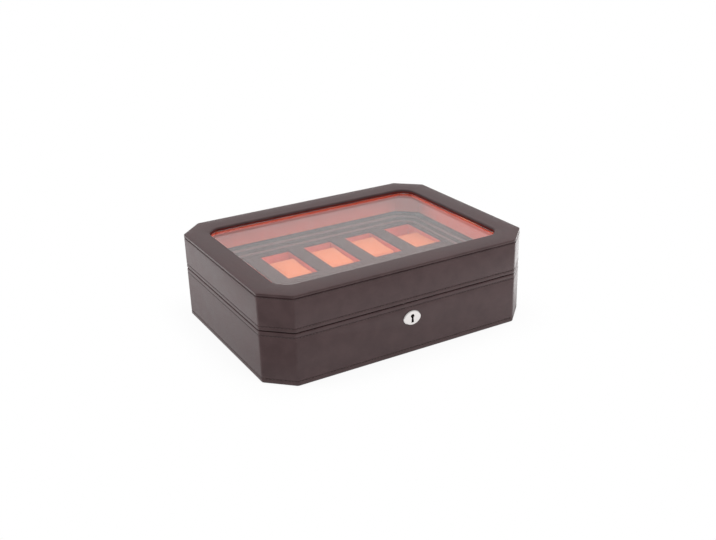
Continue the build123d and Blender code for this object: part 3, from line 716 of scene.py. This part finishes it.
    def smooth(self, angle: float = 35.0) -> None:
        """Smooth shading, sharp past an angle in degrees."""
        self.activate()
        bpy.ops.object.shade_smooth_by_angle(angle=math.radians(angle))

    def dress(
        self, material: bpy.types.Material, body: str, slot: Slot, nodes: Iterable[str] = (),
    ) -> bpy.types.Object:
        """Finish the piece: its material, the body it rides on and the nodes it stands for.

        Args:
            material: its finish.
            body: the body it moves with.
            slot: the record's material slot; not used.
            nodes: the nodes of the model that it stands for.

        Returns:
            The finished object.
        """
        self.clear_bench()
        self.obj.data.materials.clear()
        self.obj.data.materials.append(material)
        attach(self.obj, body)
        if nodes:
            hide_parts(*nodes)
        LOG.info("%s: %d faces, rides on %s", self.obj.name, len(self.obj.data.polygons), body)
        return self.obj


class Editing:
    """Edit mode on one object for the length of a with block."""

    def __init__(self, obj: bpy.types.Object) -> None:
        """Remember the object."""
        self.obj = obj

    def __enter__(self) -> None:
        """Select only this object and enter edit mode."""
        Workpiece.clear_bench()
        self.obj.select_set(True)
        bpy.context.view_layer.objects.active = self.obj
        bpy.ops.object.mode_set(mode="EDIT")

    def __exit__(self, *_: object) -> None:
        """Leave edit mode."""
        bpy.ops.object.mode_set(mode="OBJECT")


def copy_of_node(node: str, name: str) -> Workpiece:
    """A merged copy of a node's mesh.

    Args:
        node: the node of the model.
        name: the copy's name.

    Returns:
        The workpiece.
    """
    source = frame["nodes"][node]
    Workpiece.clear_bench()
    made = source.copy()
    made.data = source.data.copy()
    made.parent = None
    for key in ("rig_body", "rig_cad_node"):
        if key in made:
            del made[key]
    bpy.context.scene.collection.objects.link(made)
    bpy.context.view_layer.objects.active = made
    made.select_set(True)
    piece = Workpiece(name)
    with piece.editing():
        bpy.ops.mesh.select_all(action="SELECT")
        bpy.ops.mesh.remove_doubles(threshold=0.01 * MM)
    return piece


# Sizes that the sub-assemblies share


@dataclass(frozen=True)
class Sizes:
    """The corner cuts, walls and stitch places, fitted to the frame's nodes."""

    cut_x: float = 30.0 * MM
    cut_y: float = 29.0 * MM
    leather: float = 1.0 * MM
    upright_round: float = 2.0 * MM
    lid_inner_wall: float = 9.8 * MM
    rim_width: float = 17.2 * MM
    stitch_from_edge: float = 5.0 * MM

    @property
    def plan(self) -> Plan:
        """The outside of the box."""
        low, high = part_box("base_leather")
        return Plan(high.x - low.x, high.y - low.y, self.cut_x, self.cut_y)


SIZES = Sizes()


@dataclass
class Stitching:
    """Rows of slanted stitches that lie in the grooves of the leather."""

    pitch: float = 4.0 * MM
    length: float = 2.9 * MM
    thickness: float = 0.75 * MM
    slant: float = 9.0
    sink: float = 0.15 * MM
    corner_margin: float = 1.2 * MM
    smooth_angle: float = 60.0

    def straight_row(self, name: str, start: Vector, end: Vector, outward: Vector) -> Workpiece:
        """Stitches along one straight line.

        Args:
            name: the row's name.
            start: where the row starts.
            end: where it ends.
            outward: the normal of the leather there.

        Returns:
            The row as one workpiece.
        """
        along = end - start
        count = max(2, int(along.length / self.pitch))
        step = along.length / count
        Workpiece.clear_bench()
        bpy.ops.mesh.primitive_uv_sphere_add(
            segments=6, ring_count=5, radius=0.5, rotation=(0.0, math.pi / 2, 0.0),
        )
        stitch = Workpiece(name)
        stitch.apply_place()
        stitch.obj.scale = (self.length, self.thickness, self.thickness)
        stitch.obj.rotation_euler = (0.0, math.radians(self.slant), 0.0)
        stitch.apply_place()
        stitch.modify(
            "ARRAY", count=count, use_relative_offset=False,
            use_constant_offset=True, constant_offset_displace=(step, 0.0, 0.0),
        )
        side = along.normalized()
        up = outward.cross(side) * -1.0
        turn = Matrix((side, outward, up)).transposed().to_4x4()
        first = start + side * (step / 2) + outward * (self.thickness / 2 - self.sink)
        stitch.obj.data.transform(Matrix.Translation(first) @ turn)
        return stitch

    def round_the_box(self, name: str, plan: Plan, z: float) -> Workpiece:
        """One row round all eight sides at a height."""
        rows = []
        lift = Vector((0.0, 0.0, z))
        for index, (start, end) in enumerate(plan.sides()):
            along = (end - start).normalized()
            outward = Vector((along.y, -along.x, 0.0))
            margin = along * self.corner_margin
            first, last = start + margin + lift, end - margin + lift
            rows.append(self.straight_row(f"{name}_{index}", first, last, outward))
        return rows[0].join(rows[1:])


@dataclass
class LeatherCovers:
    """The covers of the base and of the lid, with pressed grooves and stitching."""

    finishes: Finishes
    groove_width: float = 1.8 * MM
    groove_depth: float = 0.60 * MM
    stitch_sunk: float = 0.6
    base_row_low: float = 0.6 * MM
    base_row_high: float = 0.3 * MM
    crease_drop: float = 2.7 * MM
    crease_width: float = 1.2 * MM
    crease_depth: float = 0.8 * MM
    fold: float = 1.7 * MM
    turned_under: float = 12.5 * MM
    crease: float = 0.7 * MM
    top_round: float = 0.8 * MM
    window_round: float = 1.5 * MM
    window_cut: float = 12.5 * MM
    window_corner_round: float = 6.0 * MM
    cover_share: float = 0.98
    top_cover_share: float = 0.75
    trim_shows: float = 0.6 * MM
    trim_thickness: float = 0.3 * MM
    # How far the band's painted shade reaches down behind the pane's edge.
    painted_shade_behind_glass: float = 2.9 * MM
    glass_rise: float = 3.0 * MM
    crown_edge: float = -0.3 * MM
    crown_rise: float = 2.8 * MM
    crown_fall: float = -3.0 * MM
    stitching: Stitching = field(default_factory=Stitching)

    def build(self) -> None:
        """Make all the covers."""
        self.base_cover()
        self.lid_side_cover()
        self.lid_top_cover()
        self.window_painted_shade_band()
        self.window_glass()

    def _shell(self, name: str, low: float, high: float, stitch_rows: tuple[float, float]) -> Workpiece:
        """An eight-sided block with soft upright edges and two grooves."""
        piece = Workpiece.eight_sided(name, SIZES.plan, low, high)
        piece.round_upright_edges(SIZES.upright_round, 4)
        for z in stitch_rows:
            piece.groove(z, self.groove_width, self.groove_depth)
        return piece

    def _hollow(
        self, piece: Workpiece, low: float, high: float, turned_low: float, turned_high: float | None,
    ) -> None:
        """Leave only a block's outside: its walls and a turned-in border at each end.

        Args:
            piece: the block.
            low: the height of its lower border.
            high: the height of its upper border.
            turned_low: how wide the lower border is.
            turned_high: how wide the upper border is, or None where there is none.
        """
        middle_z = (low + high) / 2
        upper_plan = SIZES.plan.inset(turned_high or turned_low)
        piece.cut(Workpiece.eight_sided("hollow_low", SIZES.plan.inset(turned_low), low - MM, middle_z))
        piece.cut(Workpiece.eight_sided("hollow_high", upper_plan, middle_z - 0.1 * MM, high + MM))
        near = 0.05 * MM

        def inner(middle: Vector, normal: Vector) -> bool:
            """Whether a face is one of the block's inner faces."""
            depth = SIZES.plan.depth_inside(middle)
            if abs(normal.z) < 0.1:
                return depth > 3 * self.fold
            if abs(normal.z) > 0.9 and low + near < middle.z < high - near and depth > self.fold:
                return True
            return turned_high is None and normal.z > 0.9 and middle.z > high - near

        with piece.editing():
            piece.select(Pick.FACES, inner)
            bpy.ops.mesh.delete(type="FACE")

    def base_cover(self) -> None:
        """Up the base's walls, over the rim and under the bottom edge."""
        low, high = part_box("base_leather")
        edge = SIZES.stitch_from_edge
        rows = (low.z + edge + self.base_row_low, high.z - edge - self.base_row_high)
        piece = self._shell("base_cover", low.z, high.z, rows)
        piece.round_level_edges(low.z, self.fold, 4)
        piece.round_level_edges(high.z, self.fold, 4)
        self._hollow(piece, low.z, high.z, self.turned_under, SIZES.rim_width)
        piece.thicken(SIZES.leather * self.cover_share)
        plates = ("hinge_left_base_leaf", "hinge_right_base_leaf", "lock_selvedge_plate")
        for cutter in self._hardware_cutters(plates):
            piece.cut(cutter)
        piece.cut(self._drawer_cutter())
        piece.cut(self._key_cutter())
        piece.smooth()
        piece.dress(self.finishes.leather, Body.BASE.value, Slot.LEATHER, ["base_leather"])
        self._stitch("base_stitches", rows, Body.BASE)

    def _stitch(self, name: str, rows: Iterable[float], body: Body) -> None:
        """Lay a row of stitches in each groove of a cover."""
        plan = SIZES.plan.inset(self.groove_depth * self.stitch_sunk)
        for index, z in enumerate(rows):
            row = self.stitching.round_the_box(f"{name}_{index}", plan, z)
            row.smooth(self.stitching.smooth_angle)
            row.dress(self.finishes.thread, body.value, Slot.LEATHER)

    def _hardware_cutters(self, nodes: Iterable[str]) -> list[Workpiece]:
        """Blocks where plates are let into the leather."""
        seam = (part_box("base_leather")[1].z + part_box("lid_side_leather")[0].z) / 2
        back_face = SIZES.plan.depth / 2
        cutters = []
        for node in nodes:
            low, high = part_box(node)
            if "hinge" in node:
                deep, shallow = 1.3 * MM, 1.0 * MM
                below, above = (deep, shallow) if "base" in node else (shallow, deep)
                corner_low = (low.x, low.y, seam - below)
                corner_high = (high.x, back_face + 2.0 * MM, seam + above)
            else:
                corner_low = (low.x, low.y, high.z - 1.0 * MM)
                corner_high = (high.x, high.y, high.z + 1.0 * MM)
            cutters.append(Workpiece.block(f"cutter_{node}", corner_low, corner_high))
        return cutters

    def _drawer_cutter(self) -> Workpiece:
        """The drawer's opening in the right-hand end."""
        gap = 0.6 * MM
        low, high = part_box("drawer_front_leather")
        return Workpiece.block(
            "cutter_drawer",
            (low.x - 2 * MM, low.y - gap, low.z - gap),
            (high.x + 2 * MM, high.y + gap, high.z + gap),
        )

    def _key_cutter(self) -> Workpiece:
        """The key's passage behind the escutcheon."""
        low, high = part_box("keyhole_escutcheon")
        middle = (low + high) / 2
        half = 4.0 * MM
        return Workpiece.block(
            "cutter_key",
            (middle.x - half, low.y - half, middle.z - 1.5 * half),
            (middle.x + half, high.y + half, middle.z + 1.2 * half),
        )

    def lid_side_cover(self) -> None:
        """Up the lid's walls and under its lower edge."""
        low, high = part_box("lid_side_leather")
        rows = (low.z + SIZES.stitch_from_edge, high.z + SIZES.leather - SIZES.stitch_from_edge)
        piece = self._shell("lid_side_cover", low.z, high.z, rows)
        piece.groove(high.z - self.crease_drop, self.crease_width, self.crease_depth)
        piece.round_level_edges(low.z, self.fold, 4)
        piece.round_level_edges(high.z, self.crease, 2)
        self._hollow(piece, low.z, high.z, SIZES.lid_inner_wall, None)
        piece.thicken(SIZES.leather * self.cover_share)
        for cutter in self._hardware_cutters(("hinge_left_lid_leaf", "hinge_right_lid_leaf")):
            piece.cut(cutter)
        hasp_low, hasp_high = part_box("lid_hasp")
        piece.cut(Workpiece.block(
            "cutter_hasp",
            (hasp_low.x, hasp_low.y, low.z - 1.0 * MM),
            (hasp_high.x, hasp_high.y + 1.6 * MM, hasp_high.z),
        ))
        piece.smooth()
        piece.dress(self.finishes.leather, Body.LID.value, Slot.LEATHER, ["lid_side_leather"])
        self._stitch("lid_stitches", rows, Body.LID)

    def window_plan(self) -> Plan:
        """The window's own plan."""
        low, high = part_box("window_lining")
        band = 0.8 * MM
        return Plan(high.x - low.x - 2 * band, high.y - low.y - 2 * band, self.window_cut, self.window_cut)

    def lid_top_cover(self) -> None:
        """The padded sheet over the top frame, rounded at both edges and turned down to the glass."""
        low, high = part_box("lid_top_leather")
        window = self.window_plan()
        piece = Workpiece.eight_sided("lid_top_cover", SIZES.plan, high.z - SIZES.leather + 0.03 * MM, high.z)
        piece.round_upright_edges(SIZES.upright_round, 4)
        piece.round_level_edges(high.z, self.top_round, 4)
        wall_plan = window.inset(-2 * self.window_round)
        turned = Workpiece.eight_sided("turned", wall_plan, low.z + self.trim_shows, high.z - 0.3 * MM)
        hole = self._window_block("hole", window, low.z - MM, high.z + MM)
        piece.fuse(turned)
        piece.cut(hole)
        half_x, half_y = window.width / 2 + 0.1 * MM, window.depth / 2 + 0.1 * MM
        piece.round_level_edges(
            high.z, self.window_round, 6, lambda middle: abs(middle.x) < half_x and abs(middle.y) < half_y,
        )
        self._open_underside(piece, window, high.z)
        self._crown(piece, window, high.z)
        piece.thicken(SIZES.leather * self.top_cover_share)
        piece.smooth()
        piece.dress(self.finishes.leather, Body.LID.value, Slot.LEATHER, ["lid_top_leather"])

    def window_painted_shade_band(self) -> None:
        """A red edging under the turned-down leather, down to just behind the pane's edge; its dark colour is
        painted shade for the lining that lies in shade under the frame.
        """
        window = self.window_plan()
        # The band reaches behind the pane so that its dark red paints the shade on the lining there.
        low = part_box("lid_glass")[1].z + self.glass_rise - self.painted_shade_behind_glass
        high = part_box("lid_top_leather")[0].z + self.trim_shows
        piece = self._window_block("window_painted_shade_band", window.inset(-0.2 * MM), low, high)
        piece.cut(self._window_block("hole", window.inset(self.trim_thickness), low - MM, high + MM))
        piece.smooth()
        piece.dress(self.finishes.trim, Body.LID.value, Slot.LINING)

    def _window_block(self, name: str, plan: Plan, low: float, high: float) -> Workpiece:
        """A block with the window's soft corners."""
        piece = Workpiece.eight_sided(name, plan, low, high)
        piece.round_upright_edges(self.window_corner_round, 7)
        return piece

    def window_glass(self) -> None:
        """The pane, held under the frame and stepped up into the window."""
        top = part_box("lid_glass")[1].z
        piece = copy_of_node("lid_glass", "window_glass")
        step_plan = self.window_plan().inset(self.trim_thickness + 0.1 * MM)
        piece.fuse(self._window_block("step", step_plan, top - 0.5 * MM, top + self.glass_rise))
        piece.smooth(5.0)
        piece.dress(self.finishes.glass, Body.LID.value, Slot.GLASS, ["lid_glass"])

    def _open_underside(self, piece: Workpiece, window: Plan, top: float) -> None:
        """Leave only the sheet's outside: its top, its two rounded edges and the wall into the window."""
        near = 0.05 * MM
        beyond = -1.5 * self.window_round
        with piece.editing():
            piece.select(
                Pick.FACES,
                lambda middle, normal: normal.z < -0.9
                or (
                    abs(normal.z) < 0.1
                    and middle.z < top - SIZES.leather
                    and window.depth_inside(middle) < beyond + near
                ),
            )
            bpy.ops.mesh.delete(type="FACE")

    def _crown(self, piece: Workpiece, window: Plan, top: float) -> None:
        """Pad the border: lines of vertices along it, raised in the middle and let down at both edges."""
        border = SIZES.plan.depth_inside(Vector((0.0, window.depth / 2, 0.0)))
        lines = 7
        with piece.editing():
            for start, end in SIZES.plan.sides():
                along = (end - start).normalized()
                inward = Vector((-along.y, along.x, 0.0))
                for line in range(1, lines):
                    bpy.ops.mesh.select_all(action="SELECT")
                    bpy.ops.mesh.bisect(plane_co=start + inward * (border * line / lines), plane_no=inward)
        for vertex in piece.obj.data.vertices:
            outer = max(SIZES.plan.depth_inside(vertex.co), 0.0)
            inner = max(-window.depth_inside(vertex.co), 0.0)
            share = outer / (outer + inner)
            height = (vertex.co.z - (top - SIZES.leather)) / SIZES.leather if share < 0.5 else 1.0
            if vertex.co.z > top - self.window_round - 0.05 * MM:
                crown = self.crown_edge + share * (self.crown_rise + share * self.crown_fall)
                vertex.co.z += height * crown


@dataclass
class WatchTray:
    """The leather-covered tray panel, with the leather rolled into each cell."""

    finishes: Finishes
    roll: float = 1.1 * MM
    ledge_side: float = 9.0 * MM
    ledge_front: float = 13.0 * MM
    ledge_painted_highlight: float = 1.0 * MM
    # Width of the pale band that paints a highlight on the ledge's inner edge.
    ledge_height: float = 2.2 * MM
    ledge_cut_share: float = 0.8
    liner_wall: float = 0.8 * MM
    cell_half_width: float = 21.06 * MM

    def build(self) -> None:
        """Cut ten cells out of the panel and round their edges."""
        low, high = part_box("watch_tray_panel")
        plan = SIZES.plan.inset(SIZES.rim_width + 0.3 * MM)
        piece = Workpiece.eight_sided("tray_cover", plan, low.z, high.z)
        for x_low, x_high, y_low, y_high in self.cells():
            corner_low, corner_high = (x_low, y_low, low.z - MM), (x_high, y_high, high.z + MM)
            piece.cut(Workpiece.block("cutter_cell", corner_low, corner_high))
        inside_x, inside_y = plan.width / 2 - 2 * MM, plan.depth / 2 - 2 * MM
        piece.round_level_edges(
            high.z, self.roll, 4, lambda middle: abs(middle.x) < inside_x and abs(middle.y) < inside_y,
        )
        piece.smooth()
        piece.dress(self.finishes.tray_leather, Body.BASE.value, Slot.LEATHER, ["watch_tray_panel"])
        self.lip_cover()
        self.ledge(plan, high.z)

    def ledge(self, plan: Plan, top: float) -> None:
        """The raised border of the tray, with a pale band round its inside that is a painted highlight on its
        inner edge.

        Args:
            plan: the tray's outline.
            top: the height of the tray.
        """
        inside = Plan(
            plan.width - 2 * self.ledge_side,
            plan.depth - 2 * self.ledge_front,
            plan.cut_x * self.ledge_cut_share,
            plan.cut_y * self.ledge_cut_share,
        )
        edge = inside.inset(-self.ledge_painted_highlight)
        # The second piece is a pale band, a painted highlight along the ledge's inner edge.
        for name, outer, inner, finish in (
            ("tray_ledge", plan, edge, self.finishes.tray_leather),
            ("tray_ledge_painted_highlight", edge, inside, self.finishes.lip_leather_and_painted_highlight),
        ):
            piece = Workpiece.eight_sided(name, outer, top - 0.2 * MM, top + self.ledge_height)
            piece.cut(Workpiece.eight_sided("hole", inner, top - MM, top + MM + self.ledge_height))
            piece.smooth()
            piece.dress(finish, Body.BASE.value, Slot.LEATHER)

    def lip_cover(self) -> None:
        """The leather turned down from the rim to the tray."""
        low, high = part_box("base_lip_lining")
        outside = SIZES.plan.inset(SIZES.rim_width - 0.8 * MM)
        inside = SIZES.plan.inset(SIZES.rim_width)
        piece = Workpiece.eight_sided("lip_cover", outside, low.z, high.z)
        piece.cut(Workpiece.eight_sided("cutter_lip", inside, low.z - MM, high.z + MM))
        piece.smooth()
        piece.dress(self.finishes.lip_leather_and_painted_highlight, Body.BASE.value, Slot.LEATHER, ["base_lip_lining"])

    def cells(self) -> list[tuple[float, float, float, float]]:
        """The ten cells, found from the liners' ends and the pillows' columns."""
        found = []
        for row in ("front", "rear"):
            low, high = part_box(f"cell_liners_{row}")
            for column in range(1, 6):
                pillow_low, pillow_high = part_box(f"pillow_{row}_{column}")
                middle = (pillow_low.x + pillow_high.x) / 2
                half, wall = self.cell_half_width, self.liner_wall
                found.append((middle - half, middle + half, low.y + wall, high.y - wall))
        return found


@dataclass
class WatchPillows:
    """Ten padded pillows, simulated once and set in their cells."""

    finishes: Finishes
    voxel: float = 1.7 * MM
    cap: float = 0.9 * MM
    frames: int = 20
    pressure: float = 4.0
    slimmer: float = 0.5 * MM
    leans: tuple[float, ...] = (0.2 * MM, 0.4 * MM, 1.2 * MM, 1.6 * MM, -0.4 * MM)

    def build(self) -> None:
        """Pad one pillow and copy it into every cell."""
        first = copy_of_node("pillow_front_1", "pillow_form")
        low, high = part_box("pillow_front_1")
        home = (low + high) / 2
        first.move(-home)
        self._pad(first)
        for row in ("front", "rear"):
            for column in range(1, 6):
                node = f"pillow_{row}_{column}"
                low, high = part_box(node)
                piece = first.copy(f"watch_{node}")
                self._lean(piece, self.leans[column - 1])
                piece.move((low + high) / 2)
                piece.smooth(60.0)
                piece.dress(self.finishes.pillow, node, Slot.PILLOW, [node])
        bpy.data.objects.remove(first.obj)

    @staticmethod
    def _lean(piece: Workpiece, rise: float) -> None:
        """Lift the back end of the pillow's top and let its front end down."""
        vertices = piece.obj.data.vertices
        heights = [vertex.co.z for vertex in vertices]
        low, high = min(heights), max(heights)
        reach = max(vertex.co.y for vertex in vertices)
        for vertex in vertices:
            vertex.co.z += rise * (vertex.co.y / reach) * (vertex.co.z - low) / (high - low)

    def _pad(self, piece: Workpiece) -> None:
        """Voxel remesh, puff with cloth pressure, hold the swelling and subdivide."""
        piece.modify("DISPLACE", strength=-self.slimmer, mid_level=0.0)
        piece.modify("REMESH", mode="VOXEL", voxel_size=self.voxel)
        rest = [vertex.co.copy() for vertex in piece.obj.data.vertices]
        cloth = piece.obj.modifiers.new("stuffing", "CLOTH")
        cloth.settings.use_pressure = True
        cloth.settings.uniform_pressure_force = self.pressure
        cloth.settings.effector_weights.gravity = 0.0
        cloth.settings.quality = 6
        for number in range(1, self.frames + 1):
            bpy.context.scene.frame_set(number)
        bpy.ops.object.modifier_apply(modifier="stuffing")
        bpy.context.scene.frame_set(1)
        for vertex, place in zip(piece.obj.data.vertices, rest):
            moved = vertex.co - place
            if moved.length > self.cap:
                vertex.co = place + moved * (self.cap / moved.length)
        piece.modify("SUBSURF", levels=1, render_levels=1)


@dataclass(frozen=True)
class Studio:
    """Floor, world, lamps and camera."""

    floor_size: float = 24.0
    floor_grey: float = 0.86
    floor_beside_box: float = 0.90
    shadow_reach: float = 0.06
    floor_gain_right: float = 2.9
    floor_gain_left: float = 1.0
    floor_loss_left: float = 0.75
    floor_gain_front: float = 0.40
    world_light: float = 0.55
    world_mirrored: float = 0.78
    world_seen_gain: float = 0.22
    lamp_aim: Triple = (0.0, 0.0, 0.05)
    panels: tuple[tuple[str, Triple, float, float], ...] = (
        ("lamp_overhead", (0.0, 0.25, 1.9), 1.8, 12.0),
        ("lamp_left", (-1.6, 0.8, 0.8), 1.2, 20.0),
        ("lamp_right", (1.6, 0.1, 0.8), 1.0, 10.0),
        ("lamp_front", (0.5, -1.6, 1.5), 1.2, 19.0),
    )
    lens: float = 47.316
    sensor: float = 36.0
    camera_place: Triple = (-0.5309, -0.9482, 0.5114)
    azimuth: float = -29.626
    elevation: float = 22.743
    roll: float = -1.648

    def build(self) -> None:
        """Set the whole studio."""
        self.floor()
        self.world()
        for panel in self.panels:
            self.lamp(*panel)
        self.camera()
        bpy.context.scene.view_settings.view_transform = "Standard"

    def floor(self) -> None:
        """A plain white floor that keeps a faint shadow near the box and mirrors brightest at the right."""
        Workpiece.clear_bench()
        bpy.ops.mesh.primitive_plane_add(size=self.floor_size, location=(0.0, 0.0, 0.0))
        floor = bpy.context.active_object
        floor.name = "studio_floor"
        recipe = Recipe("studio_floor")
        mirrored = recipe.ray("Glossy").at_least(recipe.ray("Transmission"))
        parts = recipe.node("ShaderNodeSeparateXYZ", {}, {0: recipe.place()})
        x, y = Term(recipe, parts.outputs[0]), Term(recipe, parts.outputs[1])
        beyond_x = (recipe.math("ABSOLUTE", x, 0.0) - SIZES.plan.width / 2).at_least(0.0)
        beyond_y = (recipe.math("ABSOLUTE", y, 0.0) - SIZES.plan.depth / 2).at_least(0.0)
        away = (beyond_x * beyond_x + beyond_y * beyond_y) ** 0.5
        seen_white = self.floor_beside_box + away.step(0.0, self.shadow_reach) * (1.0 - self.floor_beside_box)
        # Each region fades in between two distances from the box's middle, in metres.
        right = x.step(0.13, 0.40) * y.step(-0.30, -0.12) * self.floor_gain_right
        left = (0.0 - x).step(0.17, 0.35) * y.step(-0.12, 0.05) * self.floor_gain_left
        front_left = (0.0 - x).step(0.16, 0.26) * (0.0 - y).step(0.05, 0.20) * self.floor_loss_left
        front = (0.0 - y).step(0.10, 0.25) * self.floor_gain_front
        strength = 1.0 + mirrored * (right + left + front - front_left)
        grey, white = (*[self.floor_grey] * 3, 1.0), (1.0, 1.0, 1.0, 1.0)
        lit = recipe.node("ShaderNodeBsdfDiffuse", {}, {"Color": grey})
        bright = recipe.node("ShaderNodeEmission", {}, {"Color": white, "Strength": strength})
        recipe.mix(recipe.ray("Camera") * seen_white + mirrored, lit, bright)
        floor.data.materials.append(recipe.owner)

    def world(self) -> None:
        """White where it is seen or mirrored, softer where it lights."""
        recipe = Recipe("studio_world", is_world=True)
        white = (1.0, 1.0, 1.0, 1.0)
        seen = recipe.ray("Camera").at_least(recipe.ray("Transmission"))
        level = seen * self.world_seen_gain + self.world_mirrored
        soft = recipe.node("ShaderNodeBackground", {}, {"Color": white, "Strength": self.world_light})
        bright = recipe.node("ShaderNodeBackground", {}, {"Color": white, "Strength": level})
        recipe.mix(seen.at_least(recipe.ray("Glossy")), soft, bright)
        bpy.context.scene.world = recipe.owner

    def lamp(self, name: str, place: Triple, size: float, power: float) -> None:
        """One large square panel that faces the box and shows only by its light.

        Args:
            name: the lamp's name.
            place: where it stands.
            size: the length of its side in metres.
            power: its power in watts.
        """
        light = bpy.data.lights.new(name, "AREA")
        light.size = size
        light.energy = power
        lamp = bpy.data.objects.new(name, light)
        lamp.location = place
        lamp.visible_camera = lamp.visible_glossy = lamp.visible_transmission = False
        aim = Vector(self.lamp_aim) - Vector(place)
        lamp.rotation_euler = aim.to_track_quat("-Z", "Y").to_euler()
        bpy.context.scene.collection.objects.link(lamp)

    def camera(self) -> None:
        """The camera at the picture's viewing angle."""
        angles = (self.azimuth, self.elevation, self.roll)
        azimuth, elevation, roll = (math.radians(angle) for angle in angles)
        back = Vector((
            math.sin(azimuth) * math.cos(elevation),
            -math.cos(azimuth) * math.cos(elevation),
            math.sin(elevation),
        ))
        right = Vector((math.cos(azimuth), math.sin(azimuth), 0.0))
        up = back.cross(right)
        across = math.cos(roll) * right + math.sin(roll) * up
        above = -math.sin(roll) * right + math.cos(roll) * up
        turn = Matrix((across, above, back)).transposed().to_4x4()
        data = bpy.data.cameras.new("camera")
        data.lens = self.lens
        data.sensor_width = self.sensor
        camera = bpy.data.objects.new("camera", data)
        camera.matrix_world = Matrix.Translation(Vector(self.camera_place)) @ turn
        bpy.context.scene.collection.objects.link(camera)
        bpy.context.scene.camera = camera


def dress_nodes(finishes: Finishes) -> None:
    """Give every node of the model the finish of its slot."""
    for row in frame["record"]["subparts"]:
        node = frame["nodes"][row["node"]]
        node.data.materials.clear()
        node.data.materials.append(finishes.of_slot(row["material_slot"]))


def corners(bounds: tuple[Vector, Vector]) -> list[list[float]]:
    """Bounds as plain lists."""
    return [list(corner) for corner in bounds]


def main() -> None:
    """Build the studio and every sub-assembly in order."""
    logging.basicConfig(level=logging.INFO, format="%(name)s %(message)s")
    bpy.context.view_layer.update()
    finishes = Finishes()
    dress_nodes(finishes)
    Studio().build()
    LeatherCovers(finishes).build()
    WatchTray(finishes).build()
    WatchPillows(finishes).build()
    Workpiece.clear_bench()


if __name__ == "__main__":
    main()
